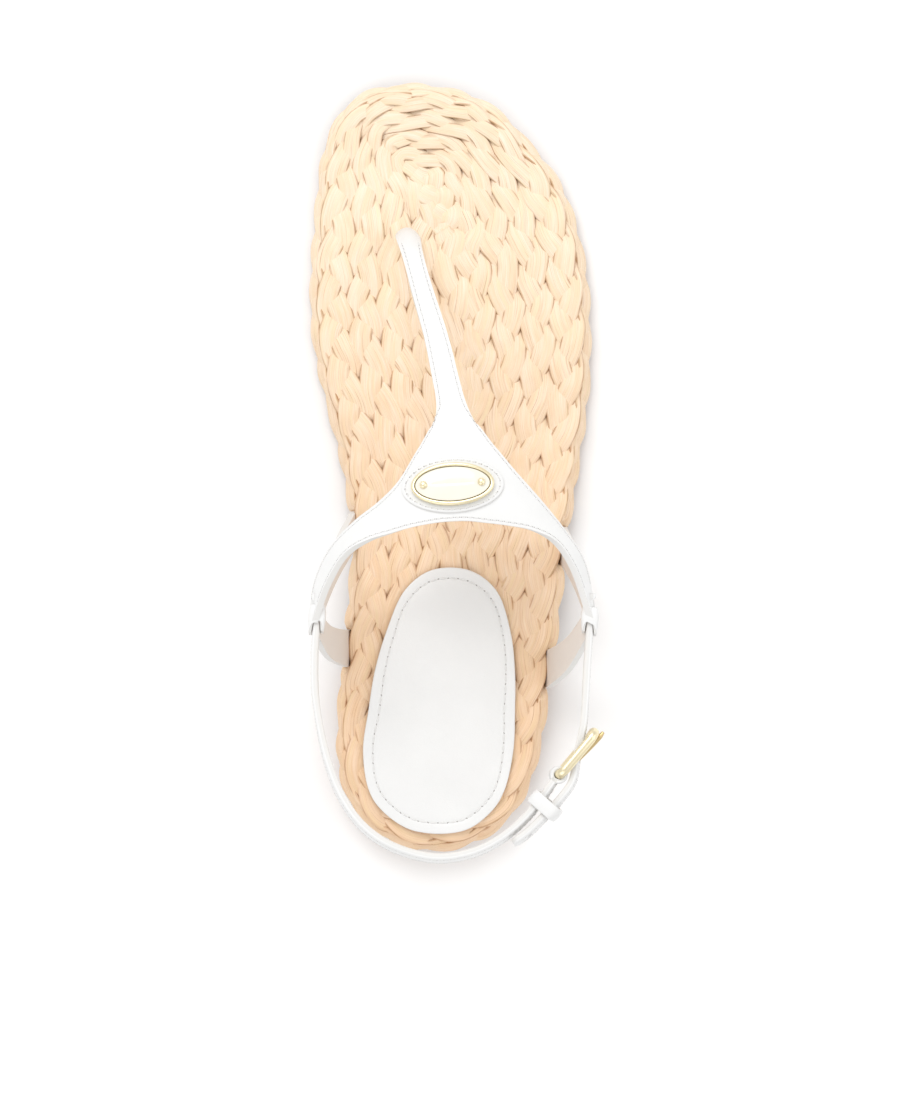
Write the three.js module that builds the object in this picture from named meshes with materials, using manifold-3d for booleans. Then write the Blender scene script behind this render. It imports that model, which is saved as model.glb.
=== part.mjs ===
// Right-foot toe post sandal: a raffia plait footbed on a low rubber sole, a T-shaped leather
// upper, and a slingback strap with a small buckle on the outer side of the heel.
// Millimetres. +Z is up, +Y runs from heel to toe and +X to the outer side of the foot.
// The origin is on the floor under the centre of the heel seat.
import * as THREE from "three";
import { mergeVertices } from "three/addons/utils/BufferGeometryUtils.js";
import Module from "manifold-3d";

const wasm = await Module();
wasm.setup();

// Driving dimensions of the sole.
const length = 248; // back of the heel to the tip of the toe
const ballWidth = 91;
const heelSeat = 0.13; // where the origin lies, as a share of the length
const outsoleThickness = 2.5;
const heelLift = 5; // how far the heel stands above the forefoot
const toeSpring = 4.5;
const midsoleThickness = 5;
const matThickness = 2.8; // the raffia mat, under its raised plaits
const plaitRise = 1.2; // how far each plait stands out of the mat
const outsoleInset = 1.5; // the rubber stops this far inside the raffia
const heelBreast = 0.25; // front of the heel block, as a share of the length
const gap = 0.3; // between pieces that meet

// Driving dimensions of the straps.
const instepHeight = 65.5; // back edge of the yoke above the floor
const upperWall = 2;
const postThickness = 4; // the toe strap, where it turns down between the toes
const legWidth = 12;
const strapWidth = 6.5;
const strapThickness = 2.2;
const strapLean = 0.3; // radians, the top of the strap towards the heel at the back
const sleeveWall = 1.3;
const sleeveLength = 8;

// Driving dimensions of the small parts.
const padThickness = 1.2;
const patchRise = 0.9; // the overlay under the plaque
const plaqueLength = 26;
const plaqueWidth = 13.5;
const pinInset = 4; // of each pin, from the plaque's end
const buckleWire = 2.4;
const buckleHeight = 12;
const prongWire = 1.6;
const keeperWall = 1.2;
const keeperWidth = 4.6;

// The outline, in shares: along the length, and out from the sole's axis in ball widths.
const outlineRows = [
  { along: 0.015, medial: 0.191, lateral: 0.135 },
  { along: 0.04, medial: 0.291, lateral: 0.234 },
  { along: 0.08, medial: 0.351, lateral: 0.305 },
  { along: 0.13, medial: 0.376, lateral: 0.348 },
  { along: 0.2, medial: 0.371, lateral: 0.38 },
  { along: 0.28, medial: 0.353, lateral: 0.41 },
  { along: 0.36, medial: 0.33, lateral: 0.436 },
  { along: 0.44, medial: 0.333, lateral: 0.463 },
  { along: 0.52, medial: 0.369, lateral: 0.496 },
  { along: 0.6, medial: 0.426, lateral: 0.525 },
  { along: 0.68, medial: 0.468, lateral: 0.532 },
  { along: 0.75, medial: 0.472, lateral: 0.521 },
  { along: 0.82, medial: 0.459, lateral: 0.482 },
  { along: 0.88, medial: 0.438, lateral: 0.41 },
  { along: 0.93, medial: 0.404, lateral: 0.294 },
  { along: 0.965, medial: 0.351, lateral: 0.199 },
  { along: 0.985, medial: 0.3, lateral: 0.105 },
];
const heelPoint = { along: 0, across: -0.032 };
const toePoint = { along: 1, across: -0.106 };

// Height of the outsole's top: a share of the heel lift, and a share of the toe spring.
const profileRows = [
  { along: 0, lift: 1, spring: 0 },
  { along: 0.24, lift: 1, spring: 0 },
  { along: 0.34, lift: 0.72, spring: 0 },
  { along: 0.44, lift: 0.28, spring: 0 },
  { along: 0.54, lift: 0, spring: 0 },
  { along: 0.8, lift: 0, spring: 0 },
  { along: 0.9, lift: 0, spring: 0.28 },
  { along: 1, lift: 0, spring: 1 },
];

// The line that the plaits are coiled round, from the heel to just before the toe post.
const coreRows = [
  { along: 0.14, across: -0.01 },
  { along: 0.36, across: 0.05 },
  { along: 0.6, across: 0.03 },
  { along: 0.84, across: -0.08 },
];

const up = new THREE.Vector3(0, 0, 1);
const v3 = (x, y, z) => new THREE.Vector3(x, y, z);

// A value between the rows of a table, smooth and without overshoot.
function between(rows, along, column) {
  const last = rows.length - 1;
  const x = Math.min(Math.max(along, rows[0].along), rows[last].along);
  let i = 0;
  while (i < last - 1 && x > rows[i + 1].along) i++;
  const slope = (k) =>
    (rows[k + 1][column] - rows[k][column]) / (rows[k + 1].along - rows[k].along);
  const tangent = (k) => {
    if (k === 0 || k === last) return slope(Math.min(k, last - 1));
    const before = slope(k - 1);
    const after = slope(k);
    return before * after > 0 ? (2 * before * after) / (before + after) : 0;
  };
  const span = rows[i + 1].along - rows[i].along;
  const t = (x - rows[i].along) / span;
  const t2 = t * t;
  const t3 = t2 * t;
  return (
    (2 * t3 - 3 * t2 + 1) * rows[i][column] +
    (t3 - 2 * t2 + t) * span * tangent(i) +
    (3 * t2 - 2 * t3) * rows[i + 1][column] +
    (t3 - t2) * span * tangent(i + 1)
  );
}

const yAt = (along) => (along - heelSeat) * length;
const alongAt = (y) => y / length + heelSeat;
const xAt = (across) => across * ballWidth;

// Heights at a distance along the sole.
const outsoleTop = (y) =>
  outsoleThickness +
  between(profileRows, alongAt(y), "lift") * heelLift +
  between(profileRows, alongAt(y), "spring") * toeSpring;
const midsoleTop = (y) => outsoleTop(y) + gap + midsoleThickness;
const matTop = (y) => midsoleTop(y) + gap + matThickness;
const footbedTop = (y) => matTop(y) + plaitRise;

// Solids from triangles, and back.
function solidFrom(triangles) {
  const geometry = new THREE.BufferGeometry();
  const positions = new Float32Array(triangles.flatMap((p) => [p.x, p.y, p.z]));
  geometry.setAttribute("position", new THREE.BufferAttribute(positions, 3));
  return solidOf(geometry);
}

function solidOf(source) {
  const bare = source.index ? source.toNonIndexed() : source.clone();
  bare.deleteAttribute("normal");
  bare.deleteAttribute("uv");
  const merged = mergeVertices(bare, 1e-4);
  const mesh = new wasm.Mesh({
    numProp: 3,
    vertProperties: merged.attributes.position.array,
    triVerts: new Uint32Array(merged.index.array),
  });
  return new wasm.Manifold(mesh);
}

function geometryOf(solid) {
  const mesh = solid.getMesh();
  const geometry = new THREE.BufferGeometry();
  geometry.setAttribute("position", new THREE.BufferAttribute(mesh.vertProperties, 3));
  geometry.setIndex(new THREE.BufferAttribute(mesh.triVerts, 1));
  geometry.computeVertexNormals();
  return geometry;
}

function quad(triangles, a, b, c, d) {
  triangles.push(a, b, c, a, c, d);
}

// A solid through a row of equal rings, closed by a fan at each end.
function loft(rings) {
  const triangles = [];
  const n = rings[0].length;
  for (let i = 0; i < rings.length - 1; i++)
    for (let k = 0; k < n; k++) {
      const next = (k + 1) % n;
      quad(triangles, rings[i][k], rings[i][next], rings[i + 1][next], rings[i + 1][k]);
    }
  const first = rings[0];
  const last = rings[rings.length - 1];
  for (let k = 1; k < n - 1; k++) {
    triangles.push(first[0], first[k + 1], first[k]);
    triangles.push(last[0], last[k], last[k + 1]);
  }
  return facingOut(triangles);
}

function facingOut(triangles) {
  let volume = 0;
  for (let i = 0; i < triangles.length; i += 3)
    volume += triangles[i].dot(triangles[i + 1].clone().cross(triangles[i + 2]));
  if (volume < 0)
    for (let i = 0; i < triangles.length; i += 3)
      [triangles[i + 1], triangles[i + 2]] = [triangles[i + 2], triangles[i + 1]];
  return solidFrom(triangles);
}

// The sole's outline as one closed curve, up the lateral side and down the medial side.
const outline = new THREE.CatmullRomCurve3(
  [
    v3(xAt(heelPoint.across), yAt(heelPoint.along), 0),
    ...outlineRows.map((row) => v3(xAt(row.lateral), yAt(row.along), 0)),
    v3(xAt(toePoint.across), yAt(toePoint.along), 0),
    ...outlineRows.map((row) => v3(-xAt(row.medial), yAt(row.along), 0)).reverse(),
  ],
  true,
  "centripetal",
);
const outlinePoints = outline.getSpacedPoints(600);

// Where a ray from a point on the core meets the outline.
function edgeFrom(start, angle) {
  const ray = v3(Math.cos(angle), Math.sin(angle), 0);
  for (let i = 0; i < outlinePoints.length - 1; i++) {
    const a = outlinePoints[i].clone().sub(start);
    const b = outlinePoints[i + 1].clone().sub(start);
    const sideA = ray.x * a.y - ray.y * a.x;
    const sideB = ray.x * b.y - ray.y * b.x;
    if (sideA > 0 !== sideB > 0) {
      const hit = a.lerp(b, sideA / (sideA - sideB));
      if (hit.dot(ray) > 0) return hit.add(start);
    }
  }
  throw new Error("the core line leaves the outline");
}

// Spokes from the core to the outline, anticlockwise from the back of the core.
const sideSpokes = 37;
const endSpokes = 20;
const spokes = [];
const coreAt = (along) => v3(xAt(between(coreRows, along, "across")), yAt(along), 0);
const coreBack = coreRows[0].along;
const coreFront = coreRows[coreRows.length - 1].along;
for (let i = 0; i < sideSpokes; i++) {
  const core = coreAt(coreBack + ((coreFront - coreBack) * i) / sideSpokes);
  spokes.push({ core, edge: edgeFrom(core, 0) });
}
for (let i = 0; i < endSpokes; i++) {
  const core = coreAt(coreFront);
  spokes.push({ core, edge: edgeFrom(core, (Math.PI * i) / endSpokes) });
}
for (let i = sideSpokes; i > 0; i--) {
  const core = coreAt(coreBack + ((coreFront - coreBack) * i) / sideSpokes);
  spokes.push({ core, edge: edgeFrom(core, Math.PI) });
}
for (let i = 0; i < endSpokes; i++) {
  const core = coreAt(coreBack);
  spokes.push({ core, edge: edgeFrom(core, Math.PI + (Math.PI * i) / endSpokes) });
}

// A ring of points at a share of the way out, pulled in from the edge by an inset.
function ringAt(share, inset, height) {
  return spokes.map(({ core, edge }) => {
    const reach = edge.clone().sub(core);
    const p = core.clone().addScaledVector(reach, share * (1 - inset / reach.length()));
    return p.setZ(height(p.y));
  });
}

// A closed solid from one stack of rings: the first and last shrink to the core line.
function slab(rings) {
  const triangles = [];
  const n = spokes.length;
  for (let k = 0; k < rings.length - 1; k++)
    for (let i = 0; i < n; i++) {
      const next = (i + 1) % n;
      quad(triangles, rings[k][i], rings[k][next], rings[k + 1][next], rings[k + 1][i]);
    }
  return facingOut(
    triangles.filter((_, i) => {
      const at = i - (i % 3);
      const [a, b, c] = triangles.slice(at, at + 3);
      return a.distanceTo(b) > 1e-4 && b.distanceTo(c) > 1e-4 && c.distanceTo(a) > 1e-4;
    }),
  );
}

// Outsole: a rubber sheet that follows the profile, with the low heel moulded on.
const soleShares = [0, 1];
function makeOutsole() {
  const topRings = soleShares.map((share) => ringAt(share, outsoleInset, outsoleTop));
  const bottom = (y) => outsoleTop(y) - outsoleThickness;
  const bottomRings = soleShares.map((share) => ringAt(share, outsoleInset, bottom));
  const sheet = slab([...topRings, ...bottomRings.reverse()]);
  const shape = new THREE.Shape();
  const breast = yAt(heelBreast);
  const back = ringAt(1, outsoleInset + 0.5, () => 0).filter((p) => p.y < breast);
  const from = back.findIndex((p, i) => i > 0 && p.distanceTo(back[i - 1]) > 20);
  const ordered = from > 0 ? [...back.slice(from), ...back.slice(0, from)] : back;
  ordered.forEach((p, i) => (i ? shape.lineTo(p.x, p.y) : shape.moveTo(p.x, p.y)));
  shape.closePath();
  const block = new THREE.ExtrudeGeometry(shape, {
    depth: heelLift + outsoleThickness / 2,
    bevelEnabled: false,
  });
  return sheet.add(solidOf(block));
}

// Midsole: the layer behind the plait that is wrapped round the sole's side.
const lobeSpokes = 3; // spokes to one lobe of a plait
const lobe = (i) => Math.cos((2 * Math.PI * i) / lobeSpokes);
const wrapRows = [
  { up: 0, inset: 1.3, swing: 0 },
  { up: 0.28, inset: 0.6, swing: 0.5 },
  { up: 0.72, inset: 0.6, swing: -0.5 },
  { up: 1, inset: 1.3, swing: 0 },
];
function makeMidsole() {
  const bottom = (y) => midsoleTop(y) - midsoleThickness;
  const side = wrapRows.map((row) => {
    const height = (y) => bottom(y) + row.up * midsoleThickness;
    const inner = ringAt(1, row.inset - row.swing, height);
    const outer = ringAt(1, row.inset + row.swing, height);
    return inner.map((p, i) => p.lerp(outer[i], 0.5 - lobe(i) / 2));
  });
  return slab([ringAt(0, 0, bottom), ...side, ringAt(0, 0, midsoleTop)]);
}

// Footbed: one mat whose plaits stand out as raised strips, ring inside ring.
const plaitRows = 4.5; // plaits between the core and the edge
const grooveDepth = 0.15; // share of the rise left between two plaits
function makeMat() {
  const bottom = (y) => matTop(y) - matThickness;
  const rings = [ringAt(0, 0, (y) => matTop(y) + plaitRise * 0.5)];
  const crest = (share, side, edge) => {
    const low = ringAt(share, edge, (y) => matTop(y) + plaitRise * 0.3);
    const high = ringAt(share, edge, (y) => matTop(y) + plaitRise);
    return low.map((p, i) => p.lerp(high[i], 0.5 + (side * lobe(i)) / 2));
  };
  rings.push(crest(0.27 / plaitRows, 1, 0));
  for (let k = 0; k < 4; k++) {
    const groove = (k + 0.5) / plaitRows;
    rings.push(ringAt(groove, 0, (y) => matTop(y) + plaitRise * grooveDepth));
    rings.push(crest(groove + 0.28 / plaitRows, -1, 0));
    rings.push(crest(groove + 0.72 / plaitRows, 1, k === 3 ? 0.4 : 0));
  }
  rings.push(ringAt(1, 0, (y) => matTop(y) - matThickness * 0.35));
  rings.push(ringAt(1, 0.6, bottom));
  rings.push(ringAt(0, 0, bottom));
  return slab(rings);
}

// Heel pad: an egg of thin leather, by its distance along the sole and its two sides.
const padRows = [
  { along: 0.0312, medial: 0.102, lateral: 0.078 },
  { along: 0.0571, medial: 0.212, lateral: 0.177 },
  { along: 0.0831, medial: 0.258, lateral: 0.22 },
  { along: 0.135, medial: 0.279, lateral: 0.252 },
  { along: 0.187, medial: 0.26, lateral: 0.258 },
  { along: 0.239, medial: 0.237, lateral: 0.258 },
  { along: 0.291, medial: 0.195, lateral: 0.241 },
  { along: 0.343, medial: 0.131, lateral: 0.191 },
  { along: 0.3687, medial: 0.038, lateral: 0.096 },
];
function makeHeelPad() {
  const points = [
    ...padRows.map((row) => v3(xAt(row.lateral), yAt(row.along), 0)),
    ...padRows.map((row) => v3(-xAt(row.medial), yAt(row.along), 0)).reverse(),
  ];
  const curve = new THREE.CatmullRomCurve3(points, true, "centripetal");
  const rim = curve.getSpacedPoints(48).slice(0, 48);
  const middle = v3(0, yAt(0.18), 0);
  const ring = (share, lift) =>
    rim.map((p) => {
      const q = middle.clone().lerp(p, share);
      return q.setZ(footbedTop(q.y) + gap + lift);
    });
  const edge = 1 - 0.6 / 24;
  return stack([
    ring(0.5, 0),
    ring(1, 0),
    ring(1, padThickness * 0.55),
    ring(edge, padThickness),
    ring(0.5, padThickness),
  ]);
}

// A solid of stacked rings, with a flat fan over the first and the last.
function stack(rings) {
  const triangles = [];
  const n = rings[0].length;
  for (let i = 0; i < rings.length - 1; i++)
    for (let k = 0; k < n; k++) {
      const next = (k + 1) % n;
      quad(triangles, rings[i][k], rings[i][next], rings[i + 1][next], rings[i + 1][k]);
    }
  const centre = (ring) => ring.reduce((sum, p) => sum.add(p), v3(0, 0, 0)).divideScalar(n);
  const low = centre(rings[0]);
  const high = centre(rings[rings.length - 1]);
  for (let k = 0; k < n; k++) {
    const next = (k + 1) % n;
    triangles.push(low, rings[0][next], rings[0][k]);
    triangles.push(high, rings[rings.length - 1][k], rings[rings.length - 1][next]);
  }
  return facingOut(triangles);
}

// A wall with real thickness from patches of points that share their seams.
function thicken(patches, facing, outer, inner) {
  const vertices = [];
  const index = new Map();
  const find = (p) => {
    const key = [p.x, p.y, p.z].map((c) => Math.round(c * 1000)).join();
    if (!index.has(key)) {
      index.set(key, vertices.length);
      vertices.push(p.clone());
    }
    return index.get(key);
  };
  const faces = [];
  for (const rows of patches)
    for (let j = 0; j < rows.length - 1; j++)
      for (let i = 0; i < rows[0].length - 1; i++) {
        const a = find(rows[j][i]);
        const b = find(rows[j][i + 1]);
        const c = find(rows[j + 1][i + 1]);
        const d = find(rows[j + 1][i]);
        faces.push([a, b, c], [a, c, d]);
      }
  const cross = ([a, b, c]) => {
    const ab = vertices[b].clone().sub(vertices[a]);
    return ab.cross(vertices[c].clone().sub(vertices[a]));
  };
  const total = faces.reduce((sum, face) => sum.add(cross(face)), v3(0, 0, 0));
  if (total.dot(facing) < 0) faces.forEach((face) => face.reverse());
  const normals = vertices.map(() => v3(0, 0, 0));
  for (const face of faces) {
    const n = cross(face);
    face.forEach((k) => normals[k].add(n));
  }
  normals.forEach((n) => n.normalize());
  const shift = (k, side, amount) =>
    vertices[k].clone().addScaledVector(normals[k], side * amount(vertices[k]));
  const top = vertices.map((_, k) => shift(k, 1, outer));
  const base = vertices.map((_, k) => shift(k, -1, inner));
  const triangles = [];
  const rim = new Map();
  for (const [a, b, c] of faces) {
    triangles.push(top[a], top[b], top[c], base[a], base[c], base[b]);
    for (const [p, q] of [[a, b], [b, c], [c, a]]) {
      if (rim.has(`${q},${p}`)) rim.delete(`${q},${p}`);
      else rim.set(`${p},${q}`, [p, q]);
    }
  }
  for (const [p, q] of rim.values()) quad(triangles, top[q], top[p], base[p], base[q]);
  return facingOut(triangles);
}

// The two edges of the yoke and its arms, from the inner loop over the instep to the outer
// loop: across in ball widths, along in lengths and rise in instep heights, from the floor.
const yokeRows = [
  { at: 0, fx: -0.448, fy: 0.31, fz: 0.705, bx: -0.436, by: 0.303, bz: 0.835 },
  { at: 1, fx: -0.432, fy: 0.353, fz: 0.752, bx: -0.391, by: 0.349, bz: 0.9 },
  { at: 2, fx: -0.38, fy: 0.395, fz: 0.8, bx: -0.324, by: 0.389, bz: 0.938 },
  { at: 3, fx: -0.291, fy: 0.43, fz: 0.855, bx: -0.247, by: 0.4065, bz: 0.962 },
  { at: 4, fx: -0.212, fy: 0.453, fz: 0.888, bx: -0.176, by: 0.415, bz: 0.977 },
  { at: 5, fx: -0.143, fy: 0.479, fz: 0.903, bx: -0.115, by: 0.4218, bz: 0.988 },
  { at: 6, fx: -0.071, fy: 0.523, fz: 0.897, bx: -0.055, by: 0.4266, bz: 0.994 },
  { at: 7, fx: -0.0055, fy: 0.558, fz: 0.88, bx: 0.006, by: 0.4298, bz: 0.998 },
  { at: 8, fx: 0.0967, fy: 0.558, fz: 0.88, bx: 0.088, by: 0.431, bz: 1 },
  { at: 9, fx: 0.174, fy: 0.526, fz: 0.897, bx: 0.154, by: 0.4286, bz: 0.997 },
  { at: 10, fx: 0.25, fy: 0.492, fz: 0.903, bx: 0.225, by: 0.4254, bz: 0.988 },
  { at: 11, fx: 0.335, fy: 0.456, fz: 0.882, bx: 0.308, by: 0.4194, bz: 0.968 },
  { at: 12, fx: 0.42, fy: 0.417, fz: 0.825, bx: 0.385, by: 0.405, bz: 0.939 },
  { at: 13, fx: 0.484, fy: 0.381, fz: 0.771, bx: 0.445, by: 0.375, bz: 0.908 },
  { at: 14, fx: 0.526, fy: 0.312, fz: 0.705, bx: 0.514, by: 0.305, bz: 0.835 },
];
const yokeBulge = 0.022; // share of the instep height, between the two edges
const asCurve = (rows, x, y, z) =>
  new THREE.CatmullRomCurve3(
    rows.map((row) => v3(xAt(row[x]), yAt(row[y]), row[z] * instepHeight)),
    false,
    "centripetal",
  );
const yokeFront = asCurve(yokeRows, "fx", "fy", "fz");
const yokeBack = asCurve(yokeRows, "bx", "by", "bz");
const yokeLast = yokeRows.length - 1;
function yokePoint(column, share) {
  const p = yokeFront.getPoint(column / yokeLast).lerp(yokeBack.getPoint(column / yokeLast), share);
  const middle = Math.max(0, 1 - ((column - 7.5) / 7.5) ** 2);
  p.z += yokeBulge * instepHeight * middle * 4 * share * (1 - share);
  return p;
}

// The toe strap, from the yoke's neck down to the post between the toes.
const toeStrapRows = [
  { at: 1, along: 0.605, across: 0.018, width: 0.092, rise: 0.836 },
  { at: 2, along: 0.665, across: -0.019, width: 0.083, rise: 0.752 },
  { at: 3, along: 0.718, across: -0.062, width: 0.077, rise: 0.643 },
  { at: 4, along: 0.758, across: -0.093, width: 0.07, rise: 0.512 },
  { at: 5, along: 0.785, across: -0.114, width: 0.061, rise: 0.378 },
  { at: 6, along: 0.798, across: -0.123, width: 0.05, rise: 0.25 },
  { at: 7, along: 0.8015, across: -0.125, width: 0.044, rise: 0.127 },
];
const neckColumns = 2;
function toeStrapPatch(pad = 0) {
  const neck = [];
  for (let i = 0; i <= neckColumns; i++) neck.push(yokePoint(7 + i / neckColumns, 0));
  const rows = [neck];
  const steps = 12;
  const centre = new THREE.CatmullRomCurve3(
    [
      yokePoint(7.5, 0),
      ...toeStrapRows.map((row) => v3(xAt(row.across), yAt(row.along), row.rise * instepHeight)),
    ],
    false,
    "centripetal",
  );
  const widths = [{ at: 0, width: 0.1022 }, ...toeStrapRows];
  const last = toeStrapRows.length;
  for (let j = 1; j <= steps; j++) {
    const t = j / steps;
    const p = centre.getPoint(t);
    const share = between(widths.map((w) => ({ ...w, along: w.at })), t * last, "width");
    const half = 0.5 * xAt(share) + pad;
    const row = [];
    for (let i = 0; i <= neckColumns; i++)
      row.push(p.clone().add(v3(half * ((2 * i) / neckColumns - 1), 0, 0)));
    rows.push(row);
  }
  return rows.reverse();
}

// One column of points on the yoke from its front edge to its back edge.
const yokeColumns = [0, 0.5, 1, 1.5, 2, 2.5, 3, 3.5, 4, 4.5, 5, 5.5, 6, 6.5];
for (let i = 0; i <= neckColumns; i++) yokeColumns.push(7 + i / neckColumns);
for (let c = 8.5; c <= yokeLast; c += 0.5) yokeColumns.push(c);
const yokeShares = [0, 0.22, 0.5, 0.78, 1];
const yokePatch = yokeShares.map((share) => yokeColumns.map((c) => yokePoint(c, share)));

// A leg of the upper: a strap cemented on the outsole, up the sole's side and on to the loop.
// Points at its foot, at the edge of the footbed, at its middle and at the loop.
const legRows = {
  innerFront: { edge: [-0.318, 0.42, 0.17], middle: [-0.38, 0.373, 0.5], top: [-0.436, 0.314, 0.775] },
  innerBack: { edge: [-0.34, 0.267, 0.22], middle: [-0.398, 0.277, 0.5], top: [-0.436, 0.304, 0.775] },
  outerFront: { edge: [0.433, 0.4, 0.175], middle: [0.478, 0.362, 0.5], top: [0.514, 0.316, 0.775] },
  outerBack: { edge: [0.38, 0.2407, 0.22], middle: [0.446, 0.262, 0.5], top: [0.514, 0.305, 0.775] },
};
function legPatch(leg, extra) {
  const place = ([across, along, rise]) => v3(xAt(across), yAt(along), rise * instepHeight);
  const edge = place(leg.edge);
  const foot = edge.clone().setZ(outsoleTop(edge.y) + gap);
  const curve = new THREE.CatmullRomCurve3([foot, edge, place(leg.middle), place(leg.top)]);
  const rows = [];
  const steps = 8;
  for (let j = 0; j <= steps; j++) {
    const t = j / steps;
    const p = curve.getPoint(t);
    const free = Math.max(0, 1.5 * t - 0.5);
    const half = (legWidth / 2) * (1 - 0.28 * free) + extra;
    const row = [];
    for (let i = 0; i <= 2; i++) row.push(p.clone().add(v3(0, half * (i - 1), 0)));
    if (j === 0) row.forEach((q) => q.setZ(outsoleTop(q.y) + gap - extra / 2));
    rows.push(row);
  }
  return rows;
}
function makeLeg(leg, pad) {
  const side = Math.sign(leg.edge[0]);
  const wall = () => upperWall / 2 + pad;
  return thicken([legPatch(leg, pad)], v3(side, 0, 0), wall, wall);
}

// The path of the slingback, and a strap swept along a path of {across, along, rise}.
const heelStrapRows = [
  { across: -0.425, along: 0.34, rise: 0.757 },
  { across: -0.43, along: 0.306, rise: 0.77 },
  { across: -0.437, along: 0.255, rise: 0.793 },
  { across: -0.432, along: 0.2056, rise: 0.817 },
  { across: -0.394, along: 0.133, rise: 0.863 },
  { across: -0.342, along: 0.084, rise: 0.9 },
  { across: -0.27, along: 0.0476, rise: 0.925 },
  { across: -0.171, along: 0.0226, rise: 0.945 },
  { across: -0.022, along: 0.008, rise: 0.955 },
  { across: 0.099, along: 0.0137, rise: 0.948 },
  { across: 0.192, along: 0.029, rise: 0.934 },
  { across: 0.269, along: 0.0508, rise: 0.917 },
  { across: 0.335, along: 0.0774, rise: 0.897 },
  { across: 0.39, along: 0.1056, rise: 0.873 },
];
const bar = { across: 0.401, along: 0.1113, rise: 0.863 };
const frontBar = { across: 0.525, along: 0.1653, rise: 0.845 };
const frontStrapRows = [
  { across: 0.51, along: 0.34, rise: 0.757 },
  { across: 0.511, along: 0.306, rise: 0.77 },
  { across: 0.5, along: 0.242, rise: 0.802 },
  { across: 0.494, along: 0.2, rise: 0.825 },
  { across: 0.488, along: 0.174, rise: 0.842 },
  { across: 0.466, along: 0.1365, rise: 0.853 },
  { across: 0.45, along: 0.1035, rise: 0.87 },
  { across: 0.406, along: 0.0805, rise: 0.892 },
  { across: 0.352, along: 0.0592, rise: 0.912 },
  { across: 0.295, along: 0.0392, rise: 0.928 },
  { across: 0.246, along: 0.0262, rise: 0.938 },
];
const placeRow = (row) => v3(xAt(row.across), yAt(row.along), row.rise * instepHeight);
const pathOf = (rows) => new THREE.CatmullRomCurve3(rows.map(placeRow), false, "centripetal");
const heelPath = pathOf(heelStrapRows);
const frontPath = pathOf(frontStrapRows);

// Axes across a strap: out from the foot and up the strap's width, leaning in at the back.
function strapAxes(path, t) {
  const along = path.getTangent(t).setZ(0).normalize();
  const middle = v3(2, yAt(0.3), 0);
  const p = path.getPoint(t);
  const out = v3(along.y, -along.x, 0);
  if (out.dot(p.clone().sub(middle).setZ(0)) < 0) out.negate();
  const back = Math.min(Math.max((yAt(0.22) - p.y) / (0.22 * length), 0), 1);
  const lean = strapLean * back;
  const high = up.clone().multiplyScalar(Math.cos(lean)).addScaledVector(out, -Math.sin(lean));
  const wide = out.multiplyScalar(Math.cos(lean)).addScaledVector(up, Math.sin(lean));
  return { p, wide, high };
}
const sectionShape = [
  [0.5, -0.36], [0.5, 0.36], [0.3, 0.5], [-0.3, 0.5],
  [-0.5, 0.36], [-0.5, -0.36], [-0.3, -0.5], [0.3, -0.5],
];
function stops(steps) {
  const list = [0, 0.02, 0.032];
  for (let j = 0; j <= steps; j++) if (j / steps > 0.04) list.push(j / steps);
  return list;
}
function sweep(path, places, thickness, height) {
  const rings = [];
  for (const t of places) {
    const { p, wide, high } = strapAxes(path, Math.max(t, 0));
    if (t < 0) p.addScaledVector(path.getTangent(0), t * path.getLength());
    const deep = typeof thickness === "function" ? thickness(t) : thickness;
    const tall = typeof height === "function" ? height(t) : height;
    rings.push(
      sectionShape.map(([a, b]) =>
        p.clone().addScaledVector(wide, a * deep).addScaledVector(high, b * tall),
      ),
    );
  }
  return loft(rings);
}

// A box with its axes given, and a round bar between two points.
function boxAt(centre, axes, sizes) {
  const corner = (a, b, c) =>
    centre
      .clone()
      .addScaledVector(axes[0], (a * sizes[0]) / 2)
      .addScaledVector(axes[1], (b * sizes[1]) / 2)
      .addScaledVector(axes[2], (c * sizes[2]) / 2);
  const end = (a) => [corner(a, -1, -1), corner(a, 1, -1), corner(a, 1, 1), corner(a, -1, 1)];
  return loft([end(-1), end(1)]);
}
const softCorners = [
  [0.5, -0.38], [0.5, 0.38], [0.28, 0.5], [-0.28, 0.5],
  [-0.5, 0.38], [-0.5, -0.38], [-0.28, -0.5], [0.28, -0.5],
];
function softBox(centre, axes, sizes) {
  const end = (a, size) =>
    softCorners.map(([b, c]) =>
      centre
        .clone()
        .addScaledVector(axes[0], a * sizes[0])
        .addScaledVector(axes[1], b * (sizes[1] - size))
        .addScaledVector(axes[2], c * (sizes[2] - size)),
    );
  return loft([end(-0.5, 0.8), end(-0.44, 0), end(0.44, 0), end(0.5, 0.8)]);
}
function rod(points, radius, sides) {
  const path = new THREE.CatmullRomCurve3(points, false, "centripetal");
  const steps = points.length === 2 ? 1 : 4 * (points.length - 1);
  const rings = [];
  for (let j = 0; j <= steps; j++) {
    const p = path.getPoint(j / steps);
    const along = path.getTangent(j / steps).normalize();
    const side = (Math.abs(along.z) > 0.8 ? v3(1, 0, 0) : up).clone().cross(along).normalize();
    const top = along.clone().cross(side);
    const ring = [];
    for (let k = 0; k < sides; k++) {
      const angle = (2 * Math.PI * k) / sides;
      ring.push(
        p
          .clone()
          .addScaledVector(side, radius * Math.cos(angle))
          .addScaledVector(top, radius * Math.sin(angle)),
      );
    }
    rings.push(ring);
  }
  return loft(rings);
}

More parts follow.
